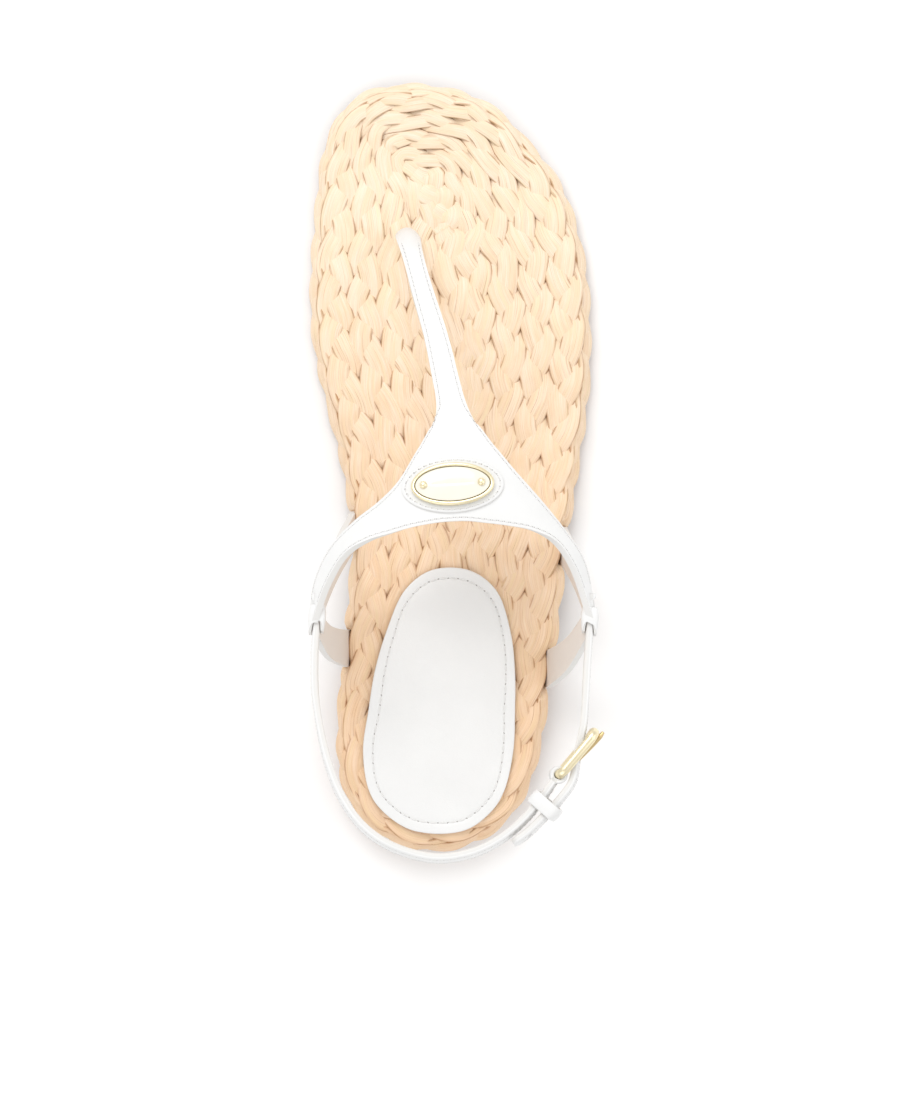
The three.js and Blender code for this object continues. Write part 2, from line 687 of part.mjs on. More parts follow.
// A sleeve of leather round a strap, at a place on its path.
const sleeveAt = 0.306; // along the sole
function whereAlong(path, along) {
  let best = 0;
  for (let i = 0; i <= 200; i++) {
    const near = Math.abs(path.getPoint((0.5 * i) / 200).y - yAt(along));
    if (near < Math.abs(path.getPoint(best).y - yAt(along))) best = (0.5 * i) / 200;
  }
  return best;
}
function sleeve(path) {
  const t = whereAlong(path, sleeveAt);
  const { p, wide, high } = strapAxes(path, t);
  const along = wide.clone().cross(high);
  const deep = strapThickness + 2 * gap + 2 * sleeveWall;
  const tall = strapWidth + 2 * gap + 2 * sleeveWall;
  return softBox(p, [along, wide, high], [sleeveLength, deep, tall]);
}
const heelStops = stops(42);
const frontStops = stops(32);
const endFold = (t) => (t < 0.021 ? strapThickness + 1.6 : strapThickness);
function sleeveBore(path, places) {
  const deep = (t) => endFold(t) + 2 * gap + 0.1;
  const reach = [-0.01, ...places.filter((t) => t < 0.25)];
  return sweep(path, reach, deep, strapWidth + 2 * gap + 0.1);
}

// Upper: toe strap, yoke, arms, legs and loops are one wall of leather.
const halfWall = () => upperWall / 2;
const postWall = (p) => {
  const low = Math.min(Math.max((0.52 * instepHeight - p.z) / (0.2 * instepHeight), 0), 1);
  return (upperWall + (postThickness - upperWall) * low) / 2;
};
const toeSheet = (pad) =>
  thicken([toeStrapPatch(pad)], v3(0, 1, 1), (p) => postWall(p) + pad, (p) => postWall(p) + pad);

// The overlay under the plaque: an oval step on the yoke, and the axes of its middle.
const badgeColumn = 7.42;
const badgeShare = 0.66;
function badgeFrame() {
  const p = yokePoint(badgeColumn, badgeShare);
  const across = yokePoint(badgeColumn + 0.4, badgeShare).sub(yokePoint(badgeColumn - 0.4, badgeShare));
  const along = yokePoint(badgeColumn, badgeShare - 0.15).sub(yokePoint(badgeColumn, badgeShare + 0.15));
  across.normalize();
  const out = across.clone().cross(along).normalize();
  return { p, across, along: out.clone().cross(across), out };
}

// The yoke's height over a spot on the badge's plane, by a search over the sheet.
function onYoke(a, b) {
  const { p, across, along, out } = badgeFrame();
  const target = p.clone().addScaledVector(across, a).addScaledVector(along, b);
  let column = badgeColumn;
  let share = badgeShare;
  for (let i = 0; i < 40; i++) {
    const miss = target.clone().sub(yokePoint(column, share));
    column += 0.12 * miss.dot(across);
    share -= 0.022 * miss.dot(along);
    share = Math.min(Math.max(share, 0), 1);
  }
  return yokePoint(column, share).sub(p).dot(out);
}
const ovalSides = 24;
function ovalRing(scaleA, scaleB, lift) {
  const { p, across, along, out } = badgeFrame();
  const ring = [];
  for (let k = 0; k < ovalSides; k++) {
    const angle = (2 * Math.PI * k) / ovalSides;
    const a = scaleA * Math.cos(angle);
    const b = scaleB * Math.sin(angle);
    ring.push(
      p
        .clone()
        .addScaledVector(across, a)
        .addScaledVector(along, b)
        .addScaledVector(out, lift(a, b)),
    );
  }
  return ring;
}
function makePatch() {
  const long = plaqueLength / 2 + 3;
  const wide = plaqueWidth / 2 + 2;
  const low = (a, b) => onYoke(a, b) + upperWall * 0.1;
  const high = (a, b) => onYoke(a, b) + upperWall / 2 + patchRise;
  return stack([
    ovalRing(long * 0.5, wide * 0.5, low),
    ovalRing(long, wide, low),
    ovalRing(long, wide, high),
    ovalRing(long * 0.7, wide * 0.7, high),
    ovalRing(long * 0.4, wide * 0.4, high),
  ]);
}

function makeUpper() {
  const main = thicken(
    [yokePatch, toeStrapPatch()],
    v3(0, 0.2, 1),
    postWall,
    postWall,
  );
  const legs = Object.values(legRows).map((leg) => makeLeg(leg, 0));
  const loops = [sleeve(heelPath), sleeve(frontPath)];
  let upper = main.add(makePatch());
  for (const solid of [...legs, ...loops]) upper = upper.add(solid);
  return upper.subtract(sleeveBore(heelPath, heelStops)).subtract(sleeveBore(frontPath, frontStops));
}

const trayGap = 0.42; // under the tray, which bends with the yoke

// Plaque: a gold tray on the overlay, with an enamel face and a pin at each end.
function makeTray() {
  const long = plaqueLength / 2;
  const wide = plaqueWidth / 2;
  const seat = (a, b) => onYoke(a, b) + upperWall / 2 + patchRise + trayGap;
  const raised = (height) => (a, b) => seat(a, b) + height;
  return stack([
    ovalRing(long * 0.5, wide * 0.5, seat),
    ovalRing(long, wide, seat),
    ovalRing(long, wide, raised(1.1)),
    ovalRing(long - 0.35, wide - 0.35, raised(1.5)),
    ovalRing(long - 1, wide - 1, raised(1.5)),
    ovalRing(long - 1.2, wide - 1.2, raised(0.5)),
    ovalRing(long * 0.5, wide * 0.5, raised(0.5)),
  ]);
}
function makeEnamel() {
  const long = plaqueLength / 2 - 1.5;
  const wide = plaqueWidth / 2 - 1.5;
  const seat = (a, b) => onYoke(a, b) + upperWall / 2 + patchRise + trayGap + 0.5 + gap;
  const raised = (height) => (a, b) => seat(a, b) + height;
  return stack([
    ovalRing(long * 0.5, wide * 0.5, seat),
    ovalRing(long, wide, seat),
    ovalRing(long, wide, raised(0.6)),
    ovalRing(long * 0.6, wide * 0.6, raised(0.85)),
  ]);
}
function makePin(a) {
  const { p, across, along, out } = badgeFrame();
  const lift = onYoke(a, 0) + upperWall / 2 + patchRise + trayGap + 2 * gap + 1.35;
  const rings = [];
  for (const [radius, height] of [[1.1, 0], [1.15, 0.35], [0.85, 0.8], [0.35, 1]]) {
    const ring = [];
    for (let k = 0; k < 8; k++) {
      const angle = (2 * Math.PI * k) / 8;
      ring.push(
        p
          .clone()
          .addScaledVector(across, a + radius * Math.cos(angle))
          .addScaledVector(along, radius * Math.sin(angle))
          .addScaledVector(out, lift + height),
      );
    }
    rings.push(ring);
  }
  return stack(rings);
}

// The buckle's own axes: forward along the frame, out from the foot and up.
const barPoint = placeRow(bar);
const frontPoint = placeRow(frontBar);
const buckleAlong = frontPoint.clone().sub(barPoint).normalize();
const buckleOut = buckleAlong.clone().cross(up).normalize();
const buckleUp = buckleOut.clone().cross(buckleAlong).normalize();
const buckleSpot = (a, n, h) =>
  barPoint
    .clone()
    .addScaledVector(buckleAlong, a)
    .addScaledVector(buckleOut, n)
    .addScaledVector(buckleUp, h);
const frameLength = barPoint.distanceTo(frontPoint);

// The frame: a rounded rectangle of wire round the bar and the front.
function makeBuckle(pad = 0) {
  const half = (buckleHeight - buckleWire) / 2;
  const corner = 2.5;
  const track = [];
  const turn = (a, h, start) => {
    for (let k = 0; k <= 4; k++) {
      const angle = start + (k * Math.PI) / 8;
      track.push([a + corner * Math.cos(angle), h + corner * Math.sin(angle)]);
    }
  };
  turn(frameLength - corner, half - corner, 0);
  turn(corner, half - corner, Math.PI / 2);
  turn(corner, -half + corner, Math.PI);
  turn(frameLength - corner, -half + corner, 1.5 * Math.PI);
  const sides = 8;
  const rings = track.map(([a, h], i) => {
    const [pa, ph] = track[(i + track.length - 1) % track.length];
    const [na, nh] = track[(i + 1) % track.length];
    const run = Math.hypot(na - pa, nh - ph);
    const side = [(nh - ph) / run, -(na - pa) / run];
    const ring = [];
    for (let k = 0; k < sides; k++) {
      const angle = (2 * Math.PI * (k + 0.5)) / sides;
      const r = (buckleWire / 2 + pad) * Math.cos(angle);
      const out = (buckleWire / 2 + pad) * Math.sin(angle);
      ring.push(buckleSpot(a + side[0] * r, out, h + side[1] * r));
    }
    return ring;
  });
  const triangles = [];
  for (let i = 0; i < rings.length; i++) {
    const next = rings[(i + 1) % rings.length];
    for (let k = 0; k < sides; k++) {
      const after = (k + 1) % sides;
      quad(triangles, rings[i][k], rings[i][after], next[after], next[k]);
    }
  }
  return facingOut(triangles);
}

// The prong: an eye round the bar and a pin that rests on the front of the frame.
const eyeInside = buckleWire / 2 + gap;
const eyeOutside = eyeInside + 1.1;
function tube(inner, outer, tall) {
  const rings = [];
  const sides = 16;
  const profile = [[inner, -1], [outer, -1], [outer, 1], [inner, 1]];
  for (let k = 0; k < sides; k++) {
    const angle = (2 * Math.PI * k) / sides;
    rings.push(
      profile.map(([r, h]) =>
        buckleSpot(r * Math.cos(angle), r * Math.sin(angle), (h * tall) / 2),
      ),
    );
  }
  const triangles = [];
  for (let i = 0; i < sides; i++) {
    const next = rings[(i + 1) % sides];
    for (let k = 0; k < 4; k++) {
      const after = (k + 1) % 4;
      quad(triangles, rings[i][k], rings[i][after], next[after], next[k]);
    }
  }
  return facingOut(triangles);
}
const prongRest = buckleWire / 2 + gap + prongWire / 2;
function prongPin(radius) {
  return rod(
    [
      buckleSpot(eyeOutside - 0.4, 0.9, 0),
      buckleSpot(frameLength * 0.5, 1.7, 0),
      buckleSpot(frameLength, prongRest, 0),
      buckleSpot(frameLength + 1.8, prongRest - 0.1, 0),
    ],
    radius,
    8,
  );
}
const makeProng = () => tube(eyeInside, eyeOutside, prongWire + 0.6).add(prongPin(prongWire / 2));

// Heel strap: from the inner loop round the heel, its end folded round the buckle's bar.
const foldOutside = eyeInside + sleeveWall;
function makeHeelStrap() {
  const band = sweep(heelPath, heelStops, endFold, strapWidth);
  const fold = tube(eyeInside, foldOutside, strapWidth);
  const bore = tube(0.02, eyeInside, strapWidth + 4);
  const eyeRoom = tube(0.02, eyeOutside + gap, prongWire + 0.6 + 2 * gap);
  const pinRoom = prongPin(prongWire / 2 + gap);
  return band
    .subtract(tube(0.02, foldOutside - 0.2, strapWidth + 4))
    .add(fold)
    .subtract(bore)
    .subtract(makeBuckle(gap * 0.9))
    .subtract(eyeRoom)
    .subtract(pinRoom);
}

// Front strap: from the outer loop through the buckle, its tip outside the heel strap.
function makeFrontStrap() {
  const tall = (t) => (t > 0.955 ? strapWidth * Math.sqrt(1 - ((t - 0.955) / 0.05) ** 2) : strapWidth);
  let strap = sweep(frontPath, frontStops, endFold, tall).subtract(prongPin(prongWire / 2 + gap));
  for (const t of holePlaces) {
    const { p, wide } = strapAxes(frontPath, t);
    const ends = [-3, 3].map((side) => p.clone().addScaledVector(wide, side));
    strap = strap.subtract(rod(ends, 0.8, 8));
  }
  return strap;
}
const holePlaces = [0.44, 0.9];

// Keeper: a band round both straps, just behind the buckle.
const keeperFront = 0.76; // its place, as a share of the front strap's path
const keeperRoom = 1.6; // the two straps bend inside it
function keeperBlock(wall, long) {
  const outer = strapAxes(frontPath, keeperFront);
  let nearest = 1;
  for (let t = 0.8; t < 1; t += 0.002) {
    const miss = heelPath.getPoint(t).distanceTo(outer.p);
    if (miss < heelPath.getPoint(nearest).distanceTo(outer.p)) nearest = t;
  }
  const inner = strapAxes(heelPath, nearest);
  const centre = inner.p.clone().lerp(outer.p, 0.5);
  const wide = outer.wide.clone().add(inner.wide).normalize();
  const high = inner.high.clone().addScaledVector(wide, -inner.high.dot(wide)).normalize();
  const apart = Math.abs(outer.p.clone().sub(inner.p).dot(wide));
  const deep = apart + strapThickness + keeperRoom + 2 * wall;
  const tall = strapWidth + keeperRoom + 2 * wall;
  return boxAt(centre, [wide.clone().cross(high), wide, high], [long, deep, tall]);
}
const makeKeeper = () =>
  keeperBlock(keeperWall, keeperWidth).subtract(keeperBlock(0, keeperWidth + 6));

// A node: one named mesh in its own material.
const sandal = new THREE.Group();
sandal.name = "toe_post_sandal";
const materials = {
  raffia: { color: 0xf0cfa4, roughness: 0.75, metalness: 0 },
  leather: { color: 0xf4f3f1, roughness: 0.42, metalness: 0 },
  rubber: { color: 0xc9a57a, roughness: 0.8, metalness: 0 },
  gold: { color: 0xe3bf62, roughness: 0.22, metalness: 1 },
  enamel: { color: 0xf6f3e6, roughness: 0.15, metalness: 0 },
};
function addNode(name, solid, finish) {
  const material = new THREE.MeshStandardMaterial(materials[finish]);
  const mesh = new THREE.Mesh(geometryOf(solid), material);
  mesh.name = name;
  sandal.add(mesh);
}

// The sole's sides are notched for the legs, and the mat is cut for the toe post.
function notched(solid) {
  let rest = solid;
  for (const leg of Object.values(legRows)) {
    const cut = makeLeg(leg, gap);
    rest = rest.subtract(cut).subtract(cut.translate([Math.sign(leg.edge[0]) * 2, 0, 0]));
  }
  return rest;
}
const mat = notched(makeMat())
  .subtract(toeSheet(gap))
  .subtract(toeSheet(gap).translate([0, 0, -3]));

addNode("outsole", makeOutsole(), "rubber");
addNode("midsole", notched(makeMidsole()), "raffia");
addNode("footbed", mat, "raffia");
addNode("heel_pad", makeHeelPad(), "leather");
addNode("upper", makeUpper(), "leather");
addNode("heel_strap", makeHeelStrap(), "leather");
addNode("front_strap", makeFrontStrap(), "leather");
addNode("strap_keeper", makeKeeper(), "leather");
addNode("buckle_frame", makeBuckle(), "gold");
addNode("buckle_prong", makeProng(), "gold");
addNode("plaque_tray", makeTray(), "gold");
addNode("plaque_face", makeEnamel(), "enamel");
addNode("plaque_pin_inner", makePin(pinInset - plaqueLength / 2), "gold");
addNode("plaque_pin_outer", makePin(plaqueLength / 2 - pinInset), "gold");

export default sandal;
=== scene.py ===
import math
import bmesh
import bpy
import numpy as np
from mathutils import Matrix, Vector


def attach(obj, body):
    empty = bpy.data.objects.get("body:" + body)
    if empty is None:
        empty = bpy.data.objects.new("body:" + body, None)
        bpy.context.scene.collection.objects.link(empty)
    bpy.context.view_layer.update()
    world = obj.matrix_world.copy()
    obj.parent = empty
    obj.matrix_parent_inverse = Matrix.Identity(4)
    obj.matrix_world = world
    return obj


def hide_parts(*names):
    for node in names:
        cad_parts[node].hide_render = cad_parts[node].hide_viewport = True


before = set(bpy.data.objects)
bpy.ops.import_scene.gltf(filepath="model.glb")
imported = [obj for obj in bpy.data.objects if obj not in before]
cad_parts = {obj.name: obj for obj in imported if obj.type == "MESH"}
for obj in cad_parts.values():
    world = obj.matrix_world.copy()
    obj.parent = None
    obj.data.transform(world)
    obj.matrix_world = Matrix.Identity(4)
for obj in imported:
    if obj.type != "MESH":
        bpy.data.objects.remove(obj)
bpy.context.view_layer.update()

# The view and the light: straight down from 1.4 m with the toe up, as a catalogue shot of one
# shoe, on a white floor under one large soft box on the toe's side and two fill lights.
camera_place = (0.0061, 0.0644, 1.4)
camera_lens = 139.7
camera = bpy.data.cameras.new("camera")
camera.sensor_fit = "VERTICAL"
camera.sensor_height = 36
camera.lens = camera_lens
camera.clip_end = 20
camera_object = bpy.data.objects.new("camera", camera)
camera_object.location = camera_place
bpy.context.collection.objects.link(camera_object)
bpy.context.scene.camera = camera_object


def area_light(name, place, target, size, power):
    light = bpy.data.lights.new(name, "AREA")
    light.shape = "RECTANGLE"
    light.size = size[0]
    light.size_y = size[1]
    light.energy = power
    lamp = bpy.data.objects.new(name, light)
    lamp.location = place
    aim = Vector(target) - Vector(place)
    lamp.rotation_euler = aim.to_track_quat("-Z", "Y").to_euler()
    bpy.context.collection.objects.link(lamp)


middle = (0.0, 0.08, 0.0)
area_light("key_light", (-0.35, 1.15, 1.25), middle, (1.1, 0.9), 12)
area_light("side_fill", (1.2, 0.15, 1.1), middle, (1.4, 1.4), 5)
area_light("heel_fill", (-0.6, -0.9, 1.2), middle, (1.4, 1.2), 5)

studio_light = 0.78
world = bpy.data.worlds.new("studio")
world.use_nodes = True
world.node_tree.nodes["Background"].inputs["Color"].default_value = (1, 1, 1, 1)
world.node_tree.nodes["Background"].inputs["Strength"].default_value = studio_light
bpy.context.scene.world = world
bpy.context.scene.view_settings.view_transform = "Standard"

floor_half = 4
floor_signs = ((-1, -1), (1, -1), (1, 1), (-1, 1))
floor_corners = [(x * floor_half, y * floor_half, 0) for x, y in floor_signs]
floor_mesh = bpy.data.meshes.new("floor")
floor_mesh.from_pydata(floor_corners, [], [(0, 1, 2, 3)])
floor = bpy.data.objects.new("floor", floor_mesh)
bpy.context.collection.objects.link(floor)
floor_white = bpy.data.materials.new("floor_white")
floor_white.use_nodes = True
floor_shader = floor_white.node_tree.nodes["Principled BSDF"]
floor_shader.inputs["Base Color"].default_value = (0.93, 0.93, 0.93, 1)
floor_shader.inputs["Roughness"].default_value = 0.9
floor_mesh.materials.append(floor_white)

# Outsole: a tan rubber sheet with the low heel moulded on, cemented under the raffia. The
# rubber is dull, with a fine moulded grain.
def new_material(name, colour, roughness, metallic=0.0):
    material = bpy.data.materials.new(name)
    material.use_nodes = True
    shader = material.node_tree.nodes["Principled BSDF"]
    shader.inputs["Base Color"].default_value = (*colour, 1)
    shader.inputs["Roughness"].default_value = roughness
    shader.inputs["Metallic"].default_value = metallic
    return material, material.node_tree, shader


def add_node(tree, kind, **settings):
    node = tree.nodes.new(kind)
    for key, value in settings.items():
        setattr(node, key, value)
    return node


def add_grain(tree, shader, scale, strength, distance):
    place = add_node(tree, "ShaderNodeTexCoord")
    noise = add_node(tree, "ShaderNodeTexNoise")
    noise.inputs["Scale"].default_value = scale
    noise.inputs["Detail"].default_value = 4
    bump = add_node(tree, "ShaderNodeBump")
    bump.inputs["Strength"].default_value = strength
    bump.inputs["Distance"].default_value = distance
    tree.links.new(place.outputs["Object"], noise.inputs["Vector"])
    tree.links.new(noise.outputs["Fac"], bump.inputs["Height"])
    tree.links.new(bump.outputs["Normal"], shader.inputs["Normal"])
    return noise


def grained_material(name, colour, roughness, scale, strength, distance):
    """A finish of one colour whose fine grain is relief."""
    material, tree, shader = new_material(name, colour, roughness)
    add_grain(tree, shader, scale, strength, distance)
    return material


rubber = grained_material("tan_rubber", (0.36, 0.2, 0.1), 0.8, 900, 0.25, 0.0003)
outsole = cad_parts["outsole"]
outsole.data.materials.clear()
outsole.data.materials.append(rubber)

# Midsole board: a thin board of tan fibre between the outsole and the raffia, cut a little
# inside the sole's outline. Only its rim shows, between the strands of the side plait.
sole_length = 0.248
ball_width = 0.091
heel_seat = 0.13
sole_thickness = 0.0025
heel_rise = 0.005
toe_spring = 0.0045
clearance = 0.0003
board_thickness = 0.005
mat_thickness = 0.0028
outline_rows = [
    (0.015, 0.191, 0.135), (0.04, 0.291, 0.234), (0.08, 0.351, 0.305), (0.13, 0.376, 0.348),
    (0.2, 0.371, 0.38), (0.28, 0.353, 0.41), (0.36, 0.33, 0.436), (0.44, 0.333, 0.463),
    (0.52, 0.369, 0.496), (0.6, 0.426, 0.525), (0.68, 0.468, 0.532), (0.75, 0.472, 0.521),
    (0.82, 0.459, 0.482), (0.88, 0.438, 0.41), (0.93, 0.404, 0.294), (0.965, 0.351, 0.199),
    (0.985, 0.3, 0.105),
]
profile_rows = [
    (0, 1, 0), (0.24, 1, 0), (0.34, 0.72, 0), (0.44, 0.28, 0), (0.54, 0, 0), (0.8, 0, 0),
    (0.9, 0, 0.28), (1, 0, 1),
]


def spline(points, places, closed=False):
    """Points on a centripetal curve; a place is a position in the list of points."""
    points = np.asarray(points, float)
    count = len(points)
    places = np.asarray(places, float)
    if closed:
        padded = np.vstack([points[-1], points, points[:2]])
        index = np.floor(places).astype(int) % count
    else:
        first = 2 * points[0] - points[1]
        last = 2 * points[-1] - points[-2]
        padded = np.vstack([first, points, last])
        index = np.clip(np.floor(places).astype(int), 0, count - 2)
    weight = (places - np.floor(places))[:, None]
    if not closed:
        weight = (places - index)[:, None]
    p0, p1, p2, p3 = (padded[index + k] for k in range(4))
    gap0, gap1, gap2 = (
        np.maximum(np.linalg.norm(b - a, axis=1), 1e-9)[:, None] ** 0.5
        for a, b in ((p0, p1), (p1, p2), (p2, p3))
    )
    start = (p1 - p0) / gap0 - (p2 - p0) / (gap0 + gap1) + (p2 - p1) / gap1
    end = (p2 - p1) / gap1 - (p3 - p1) / (gap1 + gap2) + (p3 - p2) / gap2
    start = start * gap1
    end = end * gap1
    square = -3 * p1 + 3 * p2 - 2 * start - end
    cube = 2 * p1 - 2 * p2 + start + end
    return p1 + start * weight + square * weight**2 + cube * weight**3


def profile(along, column):
    """A profile column between its rows, smooth and without overshoot."""
    rows = np.array(profile_rows, float)
    x = np.clip(along, 0, 1)
    slopes = np.diff(rows[:, column]) / np.diff(rows[:, 0])
    before, after = slopes[:-1], slopes[1:]
    even = np.where(before * after > 0, 2 * before * after / (before + after + 1e-12), 0)
    tangents = np.concatenate([[slopes[0]], even, [slopes[-1]]])
    i = np.clip(np.searchsorted(rows[:, 0], x, side="right") - 1, 0, len(rows) - 2)
    span = rows[i + 1, 0] - rows[i, 0]
    t = (x - rows[i, 0]) / span
    return (
        (2 * t**3 - 3 * t**2 + 1) * rows[i, column]
        + (t**3 - 2 * t**2 + t) * span * tangents[i]
        + (3 * t**2 - 2 * t**3) * rows[i + 1, column]
        + (t**3 - t**2) * span * tangents[i + 1]
    )


def outsole_top(y):
    along = np.asarray(y) / sole_length + heel_seat
    return sole_thickness + heel_rise * profile(along, 1) + toe_spring * profile(along, 2)


def mat_top(y):
    return outsole_top(y) + clearance + board_thickness + clearance + mat_thickness


def even_loop(points, count):
    """The same closed line in the plane, with points an even distance apart."""
    ring = np.vstack([points, points[:1]])
    steps = np.linalg.norm(np.diff(ring[:, :2], axis=0), axis=1)
    run = np.concatenate([[0], np.cumsum(steps)])
    at = np.linspace(0, run[-1], count, endpoint=False)
    return np.stack([np.interp(at, run, column) for column in ring.T], axis=1)


def two_sides(rows):
    """Points up the outer side and back down the inner side, from rows of (along, inner, outer)."""
    outer = [(r[2] * ball_width, (r[0] - heel_seat) * sole_length) for r in rows]
    inner = [(-r[1] * ball_width, (r[0] - heel_seat) * sole_length) for r in rows]
    return outer, inner[::-1]


outer_side, inner_side = two_sides(outline_rows)
heel_point = [(-0.032 * ball_width, -heel_seat * sole_length)]
toe_point = [(-0.106 * ball_width, (1 - heel_seat) * sole_length)]
outline_points = np.array(heel_point + outer_side + toe_point + inner_side)
outline_places = np.linspace(0, len(outline_points), 1600, endpoint=False)
outline = even_loop(spline(outline_points, outline_places, closed=True), 900)
toe_starts = 0.84
toe_reach = 0.15
fold_margin = 0.0004


def eased(share):
    """A share from 0 to 1 that starts and ends gently."""
    return share**2 * (3 - 2 * share)


def unit_rows(vectors):
    return vectors / np.linalg.norm(vectors, axis=1)[:, None]


def before_and_after(line):
    """The way a closed line in the plane runs at each point, over its two neighbours."""
    return unit_rows(np.roll(line, -1, axis=0) - np.roll(line, 1, axis=0))


def inset_loop(distance, count=700, toe_squeeze=0.0):
    """The outline drawn in by a distance, less at the toe, with the folds of bends cut off."""
    ahead = before_and_after(outline)
    inward = np.stack([-ahead[:, 1], ahead[:, 0]], axis=1)
    near_toe = np.clip((outline[:, 1] / sole_length + heel_seat - toe_starts) / toe_reach, 0, 1)
    room = 1 - toe_squeeze * eased(near_toe)
    moved = outline + distance * room[:, None] * inward
    reach = np.linalg.norm(moved[:, None, :] - outline[None, :, :], axis=2).min(axis=1)
    kept = np.column_stack([moved, room])[reach > distance * room - fold_margin]
    loop = even_loop(kept, count)
    for _ in range(30):
        loop = 0.5 * loop + 0.25 * (np.roll(loop, 1, axis=0) + np.roll(loop, -1, axis=0))
    return even_loop(loop, count)


def mesh_piece(name, vertices, faces, materials, face_materials=None):
    mesh = bpy.data.meshes.new(name)
    mesh.from_pydata([tuple(v) for v in vertices], [], [tuple(f) for f in faces])
    for material in materials:
        mesh.materials.append(material)
    if face_materials is not None:
        mesh.polygons.foreach_set("material_index", np.asarray(face_materials, dtype=np.int32))
    mesh.polygons.foreach_set("use_smooth", np.ones(len(mesh.polygons), dtype=bool))
    mesh.update()
    piece = bpy.data.objects.new(name, mesh)
    bpy.context.collection.objects.link(piece)
    return piece


def sole_sheet(inset, low, high):
    """Vertices and faces of a thin sheet inside the outline, between two heights."""
    loop = inset_loop(inset, 800)[:, :2]
    front, back = loop[:, 1].argmax(), loop[:, 1].argmin()
    turned = np.roll(loop, -back, axis=0)
    reach = (front - back) % len(loop)
    right, left = turned[: reach + 1], np.vstack([turned[reach:], turned[:1]])[::-1]
    stations = 0.5 - 0.5 * np.cos(np.linspace(0.03, math.pi - 0.03, 120))
    stations_y = loop[back, 1] + stations * (loop[front, 1] - loop[back, 1])
    sides = [np.interp(stations_y, side[:, 1], side[:, 0]) for side in (left, right)]
    rings = []
    for x0, x1, y in zip(*sides, stations_y):
        top, bottom = high(y), low(y)
        rings.append(np.array([(x0, y, top), (x1, y, top), (x1, y, bottom), (x0, y, bottom)]))
    return stacked_rings(rings)


def ring_faces(levels, count, closed=True):
    """Faces between equal rings in order; a closed set joins its last ring to its first."""
    faces = []
    for level in range(levels if closed else levels - 1):
        low = level * count
        high = (level + 1) % levels * count
        for k in range(count):
            after = (k + 1) % count
            faces.append((low + k, low + after, high + after, high + k))
    return faces


def stacked_rings(rings):
    """Vertices and faces of a closed solid through equal rings, with a fan at both ends."""
    count = len(rings[0])
    vertices = np.vstack([*rings, rings[0].mean(axis=0), rings[-1].mean(axis=0)])
    faces = ring_faces(len(rings), count, closed=False)
    top = (len(rings) - 1) * count
    for k in range(count):
        after = (k + 1) % count
        faces.append((len(vertices) - 2, after, k))
        faces.append((len(vertices) - 1, top + k, top + after))
    return vertices, faces


def at_height(loop, height):
    return np.column_stack([loop[:, :2], height(loop[:, 1])])


board_inset = 0.0032
board_glue = 0.0002
board_below_mat = 0.003
board_fibre = grained_material("board_fibre", (0.16, 0.085, 0.04), 0.9, 600, 0.4, 0.0004)
board_sheet = sole_sheet(
    board_inset,
    lambda y: outsole_top(y) + board_glue,
    lambda y: mat_top(y) - board_below_mat,
)
board = mesh_piece("midsole_board", *board_sheet, [board_fibre])
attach(board, "root")

# Side plait: one raffia plait of three strands, stitched round the edge of the board so that
# it stands on its edge, its flat side out. From above only its upper strands show.
lobe_length = 0.0142
strand_width = 0.0071
strand_thickness = 0.0018


def math_node(tree, operation, a, b=None):
    node = add_node(tree, "ShaderNodeMath", operation=operation)
    for socket, value in zip(node.inputs, (a, b)):
        if value is None:
            continue
        if isinstance(value, (int, float)):
            socket.default_value = value
        else:
            tree.links.new(value, socket)
    return node.outputs[0]


def vector_node(tree, operation, a, b=None, scale=None):
    node = add_node(tree, "ShaderNodeVectorMath", operation=operation)
    tree.links.new(a, node.inputs[0])
    if b is not None:
        tree.links.new(b, node.inputs[1])
    if scale is not None:
        if isinstance(scale, (int, float)):
            node.inputs["Scale"].default_value = scale
        else:
            tree.links.new(scale, node.inputs["Scale"])
    return node.outputs[0]


def named(tree, name, kind="FLOAT"):
    node = add_node(tree, "GeometryNodeInputNamedAttribute", data_type=kind)
    node.inputs["Name"].default_value = name
    return node.outputs["Attribute"]


def stored(tree, geometry, name, value):
    node = add_node(tree, "GeometryNodeStoreNamedAttribute", data_type="FLOAT", domain="POINT")
    node.inputs["Name"].default_value = name
    tree.links.new(geometry, node.inputs["Geometry"])
    tree.links.new(value, node.inputs["Value"])
    return node.outputs["Geometry"]


def new_tree(name, sizes):
    tree = bpy.data.node_groups.new(name, "GeometryNodeTree")
    tree.interface.new_socket("Geometry", in_out="INPUT", socket_type="NodeSocketGeometry")
    for label, value in sizes:
        kind = "NodeSocketMaterial" if value is None else "NodeSocketFloat"
        socket = tree.interface.new_socket(label, in_out="INPUT", socket_type=kind)
        if value is not None:
            socket.default_value = value
    tree.interface.new_socket("Geometry", in_out="OUTPUT", socket_type="NodeSocketGeometry")
    return tree, add_node(tree, "NodeGroupInput"), add_node(tree, "NodeGroupOutput")


